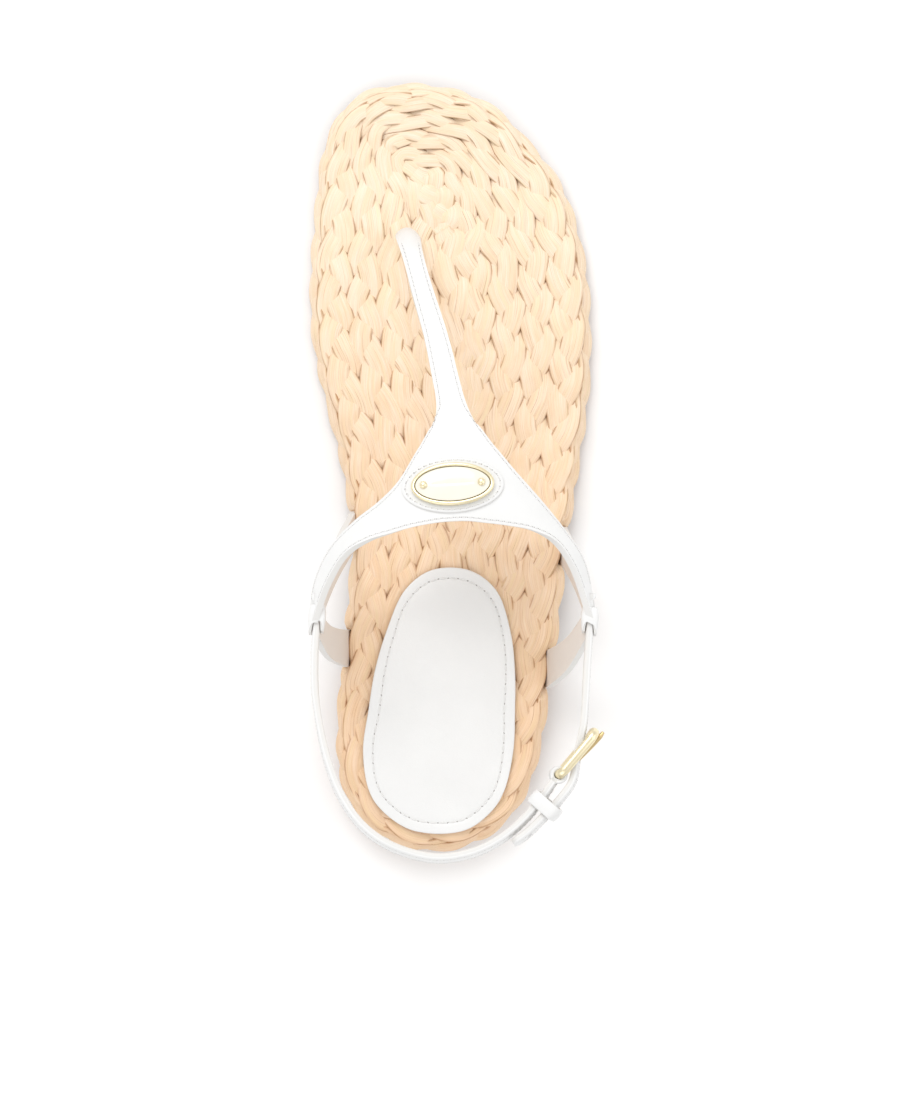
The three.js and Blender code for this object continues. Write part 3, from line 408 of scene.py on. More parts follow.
def plait_tree():
    """Three strands that weave over and under each other along each line it is given."""
    sizes = [
        ("Lobe Length", lobe_length),
        ("Strand Width", strand_width),
        ("Strand Thickness", strand_thickness),
        ("Sway", 0.0026),
        ("Weave", 0.00075),
        ("Step", 0.0012),
        ("Seed", 0.0),
        ("Material", None),
    ]
    tree, given, result = new_tree("three_strand_plait", sizes)
    link = tree.links.new
    line = add_node(tree, "GeometryNodeMeshToCurve")
    link(given.outputs["Geometry"], line.inputs["Mesh"])
    even = add_node(tree, "GeometryNodeResampleCurve", mode="LENGTH")
    link(line.outputs["Curve"], even.inputs["Curve"])
    link(given.outputs["Step"], even.inputs["Length"])
    parameter = add_node(tree, "GeometryNodeSplineParameter")
    total = add_node(tree, "GeometryNodeSplineLength")
    tangent = add_node(tree, "GeometryNodeInputTangent")
    position = add_node(tree, "GeometryNodeInputPosition")
    face = named(tree, "face", "FLOAT_VECTOR")
    across = vector_node(tree, "CROSS_PRODUCT", tangent.outputs[0], face)
    across = vector_node(tree, "NORMALIZE", across)
    drift = add_node(tree, "ShaderNodeTexNoise", noise_dimensions="4D")
    drift.inputs["Scale"].default_value = 55
    drift.inputs["Detail"].default_value = 1
    link(position.outputs[0], drift.inputs["Vector"])
    link(given.outputs["Seed"], drift.inputs["W"])
    wander = math_node(tree, "SUBTRACT", drift.outputs["Fac"], 0.5)
    wander = math_node(tree, "MULTIPLY", wander, 1.6)
    three_lobes = math_node(tree, "MULTIPLY", given.outputs["Lobe Length"], 3.0)
    turns = math_node(tree, "DIVIDE", total.outputs["Length"], three_lobes)
    turns = math_node(tree, "ROUND", turns)
    angle = math_node(tree, "MULTIPLY", turns, math.tau)
    angle = math_node(tree, "MULTIPLY", angle, parameter.outputs["Factor"])
    angle = math_node(tree, "ADD", angle, wander)
    rim = add_node(tree, "GeometryNodeCurvePrimitiveCircle")
    rim.inputs["Resolution"].default_value = 14
    rim.inputs["Radius"].default_value = 0.5
    rim_place = add_node(tree, "ShaderNodeSeparateXYZ")
    link(position.outputs[0], rim_place.inputs[0])
    side_share = math_node(tree, "MULTIPLY", rim_place.outputs["Y"], 2.0)
    rim_curve = stored(tree, rim.outputs["Curve"], "round", side_share)
    flat = add_node(tree, "GeometryNodeTransform")
    flat_size = add_node(tree, "ShaderNodeCombineXYZ")
    link(given.outputs["Strand Thickness"], flat_size.inputs["X"])
    link(given.outputs["Strand Width"], flat_size.inputs["Y"])
    flat_size.inputs["Z"].default_value = 1
    link(rim_curve, flat.inputs["Geometry"])
    link(flat_size.outputs[0], flat.inputs["Scale"])
    joined = add_node(tree, "GeometryNodeJoinGeometry")
    for strand in range(3):
        turn = math_node(tree, "ADD", angle, strand * math.tau / 3)
        sway = math_node(tree, "MULTIPLY", math_node(tree, "SINE", turn), given.outputs["Sway"])
        sway = math_node(tree, "MULTIPLY", sway, named(tree, "room"))
        lift = math_node(tree, "SINE", math_node(tree, "MULTIPLY", turn, 2.0))
        lift = math_node(tree, "MULTIPLY", lift, given.outputs["Weave"])
        shift = vector_node(
            tree,
            "ADD",
            vector_node(tree, "SCALE", across, scale=sway),
            vector_node(tree, "SCALE", face, scale=lift),
        )
        moved = add_node(tree, "GeometryNodeSetPosition")
        run = math_node(tree, "ADD", parameter.outputs["Length"], strand * 0.731)
        run = math_node(tree, "ADD", run, given.outputs["Seed"])
        link(stored(tree, even.outputs["Curve"], "run", run), moved.inputs["Geometry"])
        link(shift, moved.inputs["Offset"])
        aimed = add_node(tree, "GeometryNodeSetCurveNormal", mode="FREE")
        link(moved.outputs["Geometry"], aimed.inputs["Curve"])
        link(face, aimed.inputs["Normal"])
        fullness = add_node(tree, "ShaderNodeTexNoise", noise_dimensions="4D")
        fullness.inputs["Scale"].default_value = 140
        fullness.inputs["Detail"].default_value = 1
        fullness.inputs["W"].default_value = 3.7 * strand
        link(position.outputs[0], fullness.inputs["Vector"])
        swell = math_node(tree, "MULTIPLY", fullness.outputs["Fac"], 0.3)
        swell = math_node(tree, "ADD", swell, 0.87)
        swell = math_node(tree, "MULTIPLY", swell, named(tree, "room"))
        solid = add_node(tree, "GeometryNodeCurveToMesh")
        link(aimed.outputs["Curve"], solid.inputs["Curve"])
        link(flat.outputs["Geometry"], solid.inputs["Profile Curve"])
        link(swell, solid.inputs["Scale"])
        solid.inputs["Fill Caps"].default_value = True
        link(solid.outputs["Mesh"], joined.inputs["Geometry"])
    real = add_node(tree, "GeometryNodeRealizeInstances")
    smooth = add_node(tree, "GeometryNodeSetShadeSmooth")
    painted = add_node(tree, "GeometryNodeSetMaterial")
    link(joined.outputs["Geometry"], real.inputs["Geometry"])
    link(real.outputs["Geometry"], smooth.inputs["Geometry"])
    link(smooth.outputs["Geometry"], painted.inputs["Geometry"])
    link(given.outputs["Material"], painted.inputs["Material"])
    link(painted.outputs["Geometry"], result.inputs["Geometry"])
    return tree


def line_mesh(name, lines):
    """A mesh of lines. Each is (points, which way it faces, room, closed)."""
    vertices, edges, faces_of, rooms = [], [], [], []
    for points, facing, room, closed in lines:
        base = len(vertices)
        count = len(points)
        vertices.extend(tuple(p) for p in points)
        edges.extend((base + k, base + k + 1) for k in range(count - 1))
        if closed:
            edges.append((base + count - 1, base))
        faces_of.extend(tuple(f) for f in np.broadcast_to(facing, (count, 3)))
        rooms.extend(np.broadcast_to(room, (count,)))
    mesh = bpy.data.meshes.new(name)
    mesh.from_pydata(vertices, edges, [])
    face = mesh.attributes.new("face", "FLOAT_VECTOR", "POINT")
    face.data.foreach_set("vector", np.array(faces_of, dtype=np.float32).ravel())
    room = mesh.attributes.new("room", "FLOAT", "POINT")
    room.data.foreach_set("value", np.array(rooms, dtype=np.float32))
    return mesh


def settled_mesh(piece, modifier):
    """The plain mesh that a modifier makes of a piece, which then loses the modifier."""
    shown = piece.evaluated_get(bpy.context.evaluated_depsgraph_get())
    result = bpy.data.meshes.new_from_object(shown)
    piece.modifiers.remove(modifier)
    return result


def grown(name, mesh, tree, values):
    """The plain mesh that a tree makes from a mesh of lines."""
    seed_piece = bpy.data.objects.new(name + "_lines", mesh)
    bpy.context.collection.objects.link(seed_piece)
    modifier = seed_piece.modifiers.new("grow", "NODES")
    modifier.node_group = tree
    sockets = {item.name: item.identifier for item in tree.interface.items_tree}
    for label, value in values.items():
        modifier[sockets[label]] = value
    result = settled_mesh(seed_piece, modifier)
    bpy.data.objects.remove(seed_piece)
    result.name = name
    piece = bpy.data.objects.new(name, result)
    bpy.context.collection.objects.link(piece)
    return piece


def raffia_material(name, pale, deep, straw, dark_fibre_and_shade_colour, heel_shade_tint):
    """Split palm fibre: fine long streaks, thin brown splits, and painted shade at the strands'
    edges, in the crevices and towards the heel, so paler at the toe than the heel.
    """
    material, tree, shader = new_material(name, pale, 0.62)
    link = tree.links.new
    run = add_node(tree, "ShaderNodeAttribute", attribute_name="run")
    about = add_node(tree, "ShaderNodeAttribute", attribute_name="round")

    def streaks(along, around, detail):
        spot = add_node(tree, "ShaderNodeCombineXYZ")
        link(math_node(tree, "MULTIPLY", run.outputs["Fac"], along), spot.inputs["X"])
        link(math_node(tree, "MULTIPLY", about.outputs["Fac"], around), spot.inputs["Y"])
        noise = add_node(tree, "ShaderNodeTexNoise")
        noise.inputs["Scale"].default_value = 1
        noise.inputs["Detail"].default_value = detail
        link(spot.outputs[0], noise.inputs["Vector"])
        return noise.outputs["Fac"]

    def mixed(factor, a, b):
        mix = add_node(tree, "ShaderNodeMix", data_type="RGBA")
        link(factor, mix.inputs["Factor"])
        for label, value in (("A", a), ("B", b)):
            if isinstance(value, tuple):
                mix.inputs[label].default_value = (*value, 1)
            else:
                link(value, mix.inputs[label])
        return mix.outputs["Result"]

    def remapped(value, low, high, bottom=0.0, top=1.0):
        remap = add_node(tree, "ShaderNodeMapRange")
        remap.inputs["From Min"].default_value = low
        remap.inputs["From Max"].default_value = high
        remap.inputs["To Min"].default_value = bottom
        remap.inputs["To Max"].default_value = top
        link(value, remap.inputs["Value"])
        return remap.outputs["Result"]

    fibres = streaks(along=60, around=17, detail=7)
    splits = streaks(along=45, around=10, detail=3)
    dark_fibres = streaks(along=38, around=30, detail=4)
    patches = streaks(along=85, around=1.1, detail=2)
    dry_parts = streaks(along=48, around=2.6, detail=3)
    strand_edge_shade_mask = streaks(along=160, around=3, detail=2)
    rim = math_node(tree, "ABSOLUTE", about.outputs["Fac"])
    colour = mixed(remapped(fibres, 0.24, 0.64), deep, pale)
    colour = mixed(remapped(patches, 0.42, 0.66, 0, 0.6), colour, deep)
    colour = mixed(remapped(dry_parts, 0.47, 0.68, 0, 0.75), colour, straw)
    colour = mixed(remapped(dark_fibres, 0.45, 0.32, 0, 0.42), colour, dark_fibre_and_shade_colour)
    colour = mixed(remapped(splits, 0.38, 0.27, 0, 0.65), colour, dark_fibre_and_shade_colour)
    # Painted shade: the strands' edges, where they meet their neighbours, are darkened towards the
    # dark colour, broken up by noise.
    rim = math_node(tree, "MULTIPLY", remapped(rim, 0.82, 0.98), remapped(strand_edge_shade_mask, 0.34, 0.6))
    colour = mixed(math_node(tree, "MULTIPLY", rim, 0.85), colour, dark_fibre_and_shade_colour)
    # Painted shade: from Y 0.17 back to the heel the colour is multiplied by a darker, warmer tint.
    place = add_node(tree, "ShaderNodeTexCoord")
    apart = add_node(tree, "ShaderNodeSeparateXYZ")
    link(place.outputs["Object"], apart.inputs[0])
    heel_shaded = add_node(tree, "ShaderNodeMix", data_type="RGBA", blend_type="MULTIPLY")
    heel_shaded.inputs["Factor"].default_value = 1
    link(colour, heel_shaded.inputs["A"])
    heel_shaded.inputs["B"].default_value = (*heel_shade_tint, 1)
    toward_heel = remapped(apart.outputs["Y"], 0.17, 0.02)
    colour = mixed(toward_heel, colour, heel_shaded.outputs["Result"])
    # Painted shade: ambient occlusion darkens the raffia in the crevices between strands.
    crevice_shade = add_node(tree, "ShaderNodeAmbientOcclusion", samples=8)
    crevice_shade.inputs["Distance"].default_value = 0.0015
    colour = mixed(remapped(crevice_shade.outputs["AO"], 0.04, 0.6), dark_fibre_and_shade_colour, colour)
    link(colour, shader.inputs["Base Color"])
    bump = add_node(tree, "ShaderNodeBump")
    bump.inputs["Strength"].default_value = 0.5
    bump.inputs["Distance"].default_value = 0.0004
    link(fibres, bump.inputs["Height"])
    link(bump.outputs["Normal"], shader.inputs["Normal"])
    shader.inputs["Specular IOR Level"].default_value = 0.35
    return material


raffia = raffia_material(
    "natural_raffia",
    pale=(0.96, 0.82, 0.67),
    deep=(0.87, 0.65, 0.43),
    straw=(0.89, 0.74, 0.5),
    # The dark colour is the raffia's dark fibres and splits, and also the painted shade at the
    # strands' edges and in the crevices.
    dark_fibre_and_shade_colour=(0.42, 0.2, 0.07),
    # Painted shade: the tint that darkens and warms the raffia towards the heel.
    heel_shade_tint=(0.92, 0.81, 0.72),
)

plait = plait_tree()

edge_inset = 0.0026
leg_feet = ((-1, 0.42), (-1, 0.267), (1, 0.4), (1, 0.2407))
foot_half = 0.0089
foot_ramp = 0.003
drawn_in = 0.002
toe_proud = 0.0012
proud_from = 0.17
proud_ramp = 0.03
edge_drop = 0.0045
edge_room = 0.93
edge_lean = math.radians(28)
edge_line = inset_loop(edge_inset, 700)[:, :2]
under_legs = np.zeros(len(edge_line))
for side, along in leg_feet:
    miss = np.abs(edge_line[:, 1] - (along - heel_seat) * sole_length)
    covered = np.clip((foot_half - miss) / foot_ramp, 0, 1) * (edge_line[:, 0] * side > 0)
    under_legs = np.maximum(under_legs, eased(covered))
edge_ahead = before_and_after(edge_line)
inward = np.column_stack([-edge_ahead[:, 1], edge_ahead[:, 0]])
toe_share = np.clip((edge_line[:, 1] - proud_from) / proud_ramp, 0, 1)
edge_line = edge_line + inward * (drawn_in * under_legs - toe_proud * toe_share)[:, None]
edge_facing = np.column_stack(
    [
        edge_ahead[:, 1] * math.cos(edge_lean),
        -edge_ahead[:, 0] * math.cos(edge_lean),
        np.full(len(edge_line), math.sin(edge_lean)),
    ]
)
edge_middle = at_height(edge_line, lambda y: mat_top(y) - edge_drop)
edge_mesh = line_mesh("side_plait", [(edge_middle, edge_facing, edge_room, True)])
edge_values = {"Seed": 4.2, "Sway": 0.0016, "Material": raffia}
side_plait = grown("side_plait", edge_mesh, plait, edge_values)
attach(side_plait, "root")
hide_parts("midsole")

# Footbed: the same plait coiled in rings from the edge inward and sewn side by side on a
# brown backing, whose brown, seen in the gaps between the rings, is painted shade. A fourth ring
# fills the wide ball of the foot, straight plaits the middle.
ring_spacing = 0.0094
first_ring = 0.0083
toe_squeeze = 0.38
plait_sink = 0.0007


def on_footbed(line):
    return at_height(line, lambda y: mat_top(y) - plait_sink)


backing_inset = 0.0036
backing_low = 0.0027
backing_high = 0.0016
# The backing's brown stands in, in the gaps between the plaits, as painted shade.
backing_gap_shade = grained_material("backing_gap_shade", (0.5, 0.29, 0.14), 0.95, 900, 0.5, 0.0003)
backing_sheet = sole_sheet(
    backing_inset,
    lambda y: mat_top(y) - backing_low,
    lambda y: mat_top(y) - backing_high,
)
backing = mesh_piece("footbed_backing", *backing_sheet, [backing_gap_shade])
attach(backing, "root")
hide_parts("footbed")

plait_lines = []
for ring in range(3):
    loop = inset_loop(first_ring + ring * ring_spacing, toe_squeeze=toe_squeeze)
    plait_lines.append([(on_footbed(loop), (0, 0, 1), loop[:, 2], True)])
ball_loop = inset_loop(first_ring + 3 * ring_spacing, 400, toe_squeeze)
inner_lines = [(on_footbed(ball_loop), (0, 0, 1), ball_loop[:, 2], True)]
core_rows = [
    (-0.01, -0.012), (0.0, 0.01), (0.0035, 0.05), (0.0065, 0.085), (0.0075, 0.11),
    (0.0055, 0.135), (0.003, 0.155), (0.0014, 0.1715),
]
core = spline(core_rows, np.linspace(0, len(core_rows) - 1, 120))
core_end = 0.173
core_tip_length = 0.006
core_fuller_from = 0.142
core_taper = np.clip((core_end - core[:, 1]) / core_tip_length, 0.55, 1)
core_room = core_taper * (0.98 + 0.16 * (core[:, 1] > core_fuller_from))
inner_lines.append((on_footbed(core), (0, 0, 1), core_room, False))
tail_rows = [(0.002, 0.1695), (0.0002, 0.1755), (-0.003, 0.1818), (-0.007, 0.1888)]
tail_steps = np.arange(24)
tail = spline(tail_rows, np.linspace(0, len(tail_rows) - 1, len(tail_steps)))
tail_taper = np.clip(np.minimum(tail_steps, tail_steps[::-1]) / 3, 0.75, 1)
tail_fullness = 1.12
inner_lines.append((on_footbed(tail), (0, 0, 1), tail_taper * tail_fullness, False))
plait_lines.append(inner_lines)
for number, lines in enumerate(plait_lines):
    ring_mesh = line_mesh("plait_ring", lines)
    values = {"Seed": 1.3 * number, "Material": raffia}
    ring_piece = grown(f"footbed_plait_{number + 1}", ring_mesh, plait, values)
    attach(ring_piece, "root")
    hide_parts("footbed")

# Heel pad: an egg of white nappa leather glued on the heel seat and stitched down all round,
# 3.5 mm inside its edge. Its cut edge shows the pale flesh side of the hide.
pad_thickness = 0.0012
pad_rise = 0.0015
pad_rows = [
    (0.0312, 0.102, 0.078), (0.0571, 0.212, 0.177), (0.0831, 0.258, 0.22),
    (0.135, 0.279, 0.252), (0.187, 0.26, 0.258), (0.239, 0.237, 0.258),
    (0.291, 0.195, 0.241), (0.343, 0.131, 0.191), (0.3687, 0.038, 0.096),
]


def leather_material(name, colour, roughness, grain=1.0):
    """Nappa: a fine pebble of pores, softer and wider waves, a faint change of tone."""
    material, tree, shader = new_material(name, colour, roughness)
    link = tree.links.new
    place = add_node(tree, "ShaderNodeTexCoord")
    pores = add_node(tree, "ShaderNodeTexVoronoi", feature="DISTANCE_TO_EDGE")
    pores.inputs["Scale"].default_value = 1700
    waves = add_node(tree, "ShaderNodeTexNoise")
    waves.inputs["Scale"].default_value = 260
    waves.inputs["Detail"].default_value = 5
    tone = add_node(tree, "ShaderNodeTexNoise")
    tone.inputs["Scale"].default_value = 45
    tone.inputs["Detail"].default_value = 3
    for texture in (pores, waves, tone):
        link(place.outputs["Object"], texture.inputs["Vector"])
    ramp = add_node(tree, "ShaderNodeValToRGB")
    ramp.color_ramp.elements[0].position = 0.3
    ramp.color_ramp.elements[0].color = (*[c * 0.955 for c in colour], 1)
    ramp.color_ramp.elements[1].position = 0.7
    ramp.color_ramp.elements[1].color = (*colour, 1)
    link(tone.outputs["Fac"], ramp.inputs["Fac"])
    link(ramp.outputs["Color"], shader.inputs["Base Color"])
    gloss = add_node(tree, "ShaderNodeMapRange")
    gloss.inputs["To Min"].default_value = roughness - 0.06
    gloss.inputs["To Max"].default_value = roughness + 0.08
    link(waves.outputs["Fac"], gloss.inputs["Value"])
    link(gloss.outputs["Result"], shader.inputs["Roughness"])
    fine = add_node(tree, "ShaderNodeBump")
    fine.inputs["Strength"].default_value = 0.22 * grain
    fine.inputs["Distance"].default_value = 0.0002
    broad = add_node(tree, "ShaderNodeBump")
    broad.inputs["Strength"].default_value = 0.16 * grain
    broad.inputs["Distance"].default_value = 0.0006
    link(pores.outputs["Distance"], fine.inputs["Height"])
    link(waves.outputs["Fac"], broad.inputs["Height"])
    link(fine.outputs["Normal"], broad.inputs["Normal"])
    link(broad.outputs["Normal"], shader.inputs["Normal"])
    return material


white_nappa = leather_material("white_nappa", (0.8, 0.798, 0.79), 0.42)
cut_edge = grained_material("cut_leather_edge", (0.6, 0.52, 0.44), 0.75, 1500, 0.3, 0.0002)

pad_outer, pad_inner = two_sides(pad_rows)
pad_points = pad_outer + pad_inner
pad_places = np.linspace(0, len(pad_points), 1200, endpoint=False)
pad_rim = even_loop(spline(pad_points, pad_places, closed=True), 220)
pad_middle_along = 0.18
pad_middle = np.array([0, (pad_middle_along - heel_seat) * sole_length])


def pad_line(inside, lift):
    """The pad's edge drawn in by a distance, on the footbed's slope, at a lift above it."""
    reach = np.linalg.norm(pad_rim - pad_middle, axis=1)[:, None]
    line = pad_middle + (pad_rim - pad_middle) * (1 - inside / reach)
    return np.column_stack([line, mat_top(line[:, 1]) + pad_rise + lift * pad_thickness])


pad_steps = [
    (0.9, 0.03), (0.15, 0), (0, 0.1), (0, 0.62), (0.08, 0.82), (0.25, 0.95), (0.55, 1.0),
    (1.6, 1.03), (2.7, 1.02), (3.1, 0.93), (3.5, 0.8), (3.9, 0.93), (4.4, 1.04), (6, 1.1),
    (9, 1.14), (13, 1.15), (18, 1.15),
]
millimetre = 0.001
pad_rings = [pad_line(inside * millimetre, lift) for inside, lift in pad_steps]
pad_vertices, pad_faces = stacked_rings(pad_rings)
edge_levels = 3
pad_kinds = []
for level in range(len(pad_rings) - 1):
    pad_kinds += [1 if level < edge_levels else 0] * len(pad_rim)
pad_kinds += [1, 0] * len(pad_rim)
pad_finishes = [white_nappa, cut_edge]
heel_pad = mesh_piece("heel_pad_leather", pad_vertices, pad_faces, pad_finishes, pad_kinds)
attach(heel_pad, "root")
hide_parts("heel_pad")

# Pad seam: waxed white thread round the pad, one stitch every 3.2 mm. Each stitch is bowed and
# dips into its two needle holes, where small grey balls are painted shade.
def stitch_tree():
    """One stitch of thread at every step along each line, bowed over the surface."""
    sizes = [
        ("Pitch", 0.0032),
        ("Stitch Length", 0.0026),
        ("Thread", 0.00052),
        ("Sink", 0.0003),
        ("Seed", 0.0),
        ("Material", None),
        ("Hole Shade Material", None),
    ]
    tree, given, result = new_tree("row_of_stitches", sizes)
    link = tree.links.new
    line = add_node(tree, "GeometryNodeMeshToCurve")
    link(given.outputs["Geometry"], line.inputs["Mesh"])
    points = add_node(tree, "GeometryNodeCurveToPoints", mode="LENGTH")
    link(line.outputs["Curve"], points.inputs["Curve"])
    link(given.outputs["Pitch"], points.inputs["Length"])
    aim = add_node(tree, "FunctionNodeAxesToRotation", primary_axis="Z", secondary_axis="X")
    link(named(tree, "face", "FLOAT_VECTOR"), aim.inputs["Primary Axis"])
    link(points.outputs["Tangent"], aim.inputs["Secondary Axis"])
    bow = add_node(tree, "GeometryNodeCurveQuadraticBezier")
    bow.inputs["Resolution"].default_value = 5
    half = math_node(tree, "MULTIPLY", given.outputs["Stitch Length"], 0.5)
    back = math_node(tree, "MULTIPLY", half, -1.0)
    dip = math_node(tree, "MULTIPLY", given.outputs["Sink"], -1.0)
    crown = math_node(tree, "MULTIPLY", given.outputs["Thread"], 0.9)
    for socket, x, z in (("Start", back, dip), ("Middle", None, crown), ("End", half, dip)):
        corner = add_node(tree, "ShaderNodeCombineXYZ")
        if x is not None:
            link(x, corner.inputs["X"])
        link(z, corner.inputs["Z"])
        link(corner.outputs[0], bow.inputs[socket])
    round_thread = add_node(tree, "GeometryNodeCurvePrimitiveCircle")
    round_thread.inputs["Resolution"].default_value = 6
    link(math_node(tree, "MULTIPLY", given.outputs["Thread"], 0.5), round_thread.inputs["Radius"])
    solid = add_node(tree, "GeometryNodeCurveToMesh")
    link(bow.outputs["Curve"], solid.inputs["Curve"])
    link(round_thread.outputs["Curve"], solid.inputs["Profile Curve"])
    solid.inputs["Fill Caps"].default_value = True
    one_stitch = add_node(tree, "GeometryNodeJoinGeometry")
    link(solid.outputs["Mesh"], one_stitch.inputs["Geometry"])
    # A small grey ball at each needle hole is painted shade for the shadow in the hole.
    hole_reach = 1.12
    for side in (-hole_reach, hole_reach):
        hole_shade = add_node(tree, "GeometryNodeMeshUVSphere")
        hole_shade.inputs["Segments"].default_value = 6
        hole_shade.inputs["Rings"].default_value = 4
        link(math_node(tree, "MULTIPLY", given.outputs["Thread"], 0.52), hole_shade.inputs["Radius"])
        spot = add_node(tree, "ShaderNodeCombineXYZ")
        link(math_node(tree, "MULTIPLY", half, side), spot.inputs["X"])
        link(math_node(tree, "MULTIPLY", given.outputs["Thread"], -0.3), spot.inputs["Z"])
        moved = add_node(tree, "GeometryNodeTransform")
        link(hole_shade.outputs["Mesh"], moved.inputs["Geometry"])
        link(spot.outputs[0], moved.inputs["Translation"])
        marked = add_node(tree, "GeometryNodeStoreNamedAttribute", data_type="BOOLEAN")
        marked.domain = "FACE"
        marked.inputs["Name"].default_value = "needle_hole_shade"
        marked.inputs["Value"].default_value = True
        link(moved.outputs["Geometry"], marked.inputs["Geometry"])
        link(marked.outputs["Geometry"], one_stitch.inputs["Geometry"])
    crooked = 0.09
    turn = add_node(tree, "FunctionNodeRandomValue", data_type="FLOAT")
    turn.inputs[2].default_value = -crooked
    turn.inputs[3].default_value = crooked
    link(given.outputs["Seed"], turn.inputs["Seed"])
    spin = add_node(tree, "ShaderNodeCombineXYZ")
    link(turn.outputs[1], spin.inputs["Z"])
    turned = add_node(tree, "FunctionNodeRotateRotation", rotation_space="LOCAL")
    link(aim.outputs[0], turned.inputs[0])
    link(spin.outputs[0], turned.inputs[1])
    placed = add_node(tree, "GeometryNodeInstanceOnPoints")
    link(points.outputs["Points"], placed.inputs["Points"])
    link(one_stitch.outputs["Geometry"], placed.inputs["Instance"])
    link(turned.outputs[0], placed.inputs["Rotation"])
    real = add_node(tree, "GeometryNodeRealizeInstances")
    smooth = add_node(tree, "GeometryNodeSetShadeSmooth")
    painted = add_node(tree, "GeometryNodeSetMaterial")
    darkened = add_node(tree, "GeometryNodeSetMaterial")
    link(placed.outputs["Instances"], real.inputs["Geometry"])
    link(real.outputs["Geometry"], smooth.inputs["Geometry"])
    link(smooth.outputs["Geometry"], painted.inputs["Geometry"])
    link(given.outputs["Material"], painted.inputs["Material"])
    link(painted.outputs["Geometry"], darkened.inputs["Geometry"])
    link(named(tree, "needle_hole_shade", "BOOLEAN"), darkened.inputs["Selection"])
    link(given.outputs["Hole Shade Material"], darkened.inputs["Material"])
    link(darkened.outputs["Geometry"], result.inputs["Geometry"])
    return tree


thread = grained_material("white_thread", (0.74, 0.735, 0.72), 0.6, 3000, 0.5, 0.0001)
# Painted shade: the grey of the balls at the needle holes.
needle_hole_shade = grained_material("needle_hole_shade", (0.4, 0.385, 0.37), 0.9, 2000, 0.3, 0.0001)
stitches = stitch_tree()
thread_finish = {"Material": thread, "Hole Shade Material": needle_hole_shade}
pad_seam_inset = 0.0035
pad_seam_lift = 0.86
pad_seam = pad_line(pad_seam_inset, pad_seam_lift)
seam_mesh = line_mesh("pad_seam", [(pad_seam, (0, 0, 1), 1.0, True)])
pad_stitches = grown("heel_pad_stitches", seam_mesh, stitches, thread_finish)
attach(pad_stitches, "root")

# Upper: the yoke over the instep, the toe strap and the four legs are cut from one hide, white
# nappa outside and beige lining inside, with painted edges. The legs go down into the sole.
instep_height = 0.0655
upper_wall = 0.002
post_thickness = 0.004
leg_width = 0.012
leg_narrowing = 0.28
yoke_bulge = 0.022
yoke_middle = 7.5
post_full_below = 0.52
post_taper = 0.2
yoke_rows = [
    (-0.448, 0.31, 0.705, -0.436, 0.303, 0.835), (-0.432, 0.353, 0.752, -0.391, 0.349, 0.9),
    (-0.38, 0.395, 0.8, -0.324, 0.389, 0.938), (-0.291, 0.43, 0.855, -0.247, 0.4065, 0.962),
    (-0.212, 0.453, 0.888, -0.176, 0.415, 0.977), (-0.143, 0.479, 0.903, -0.115, 0.4218, 0.988),
    (-0.071, 0.523, 0.897, -0.055, 0.4266, 0.994), (-0.0055, 0.558, 0.88, 0.006, 0.4298, 0.998),
    (0.0967, 0.558, 0.88, 0.088, 0.431, 1), (0.174, 0.526, 0.897, 0.154, 0.4286, 0.997),
    (0.25, 0.492, 0.903, 0.225, 0.4254, 0.988), (0.335, 0.456, 0.882, 0.308, 0.4194, 0.968),
    (0.42, 0.417, 0.825, 0.385, 0.405, 0.939), (0.484, 0.381, 0.771, 0.445, 0.375, 0.908),
    (0.526, 0.312, 0.705, 0.514, 0.305, 0.835),
]
toe_strap_rows = [
    (0.018, 0.605, 0.836, 0.092), (-0.019, 0.665, 0.752, 0.083), (-0.062, 0.718, 0.643, 0.077),
    (-0.093, 0.758, 0.512, 0.07), (-0.114, 0.785, 0.378, 0.061), (-0.123, 0.798, 0.25, 0.05),
    (-0.125, 0.8015, 0.127, 0.044),
]
leg_rows = {
    "inner_front": [(-0.318, 0.42, 0.17), (-0.38, 0.373, 0.5), (-0.436, 0.314, 0.775)],
    "inner_back": [(-0.34, 0.267, 0.22), (-0.398, 0.277, 0.5), (-0.436, 0.304, 0.775)],
    "outer_front": [(0.433, 0.4, 0.175), (0.478, 0.362, 0.5), (0.514, 0.316, 0.775)],
    "outer_back": [(0.38, 0.2407, 0.22), (0.446, 0.262, 0.5), (0.514, 0.305, 0.775)],
}


def placed_rows(rows):
    """Rows of across, along and rise as points: shares of the ball, the length, the instep."""
    across, along, rise = np.asarray(rows, float).T
    return np.column_stack(
        [across * ball_width, (along - heel_seat) * sole_length, rise * instep_height]
    )


yoke_front = placed_rows([r[:3] for r in yoke_rows])
yoke_back = placed_rows([r[3:] for r in yoke_rows])


def yoke_point(column, share):
    column, share = np.broadcast_arrays(np.asarray(column, float), np.asarray(share, float))
    column, share = column.ravel(), share.ravel()
    front = spline(yoke_front, column)
    back = spline(yoke_back, column)
    p = front + (back - front) * share[:, None]
    middle = np.maximum(0, 1 - ((column - yoke_middle) / yoke_middle) ** 2)
    p[:, 2] += yoke_bulge * instep_height * middle * 4 * share * (1 - share)
    return p


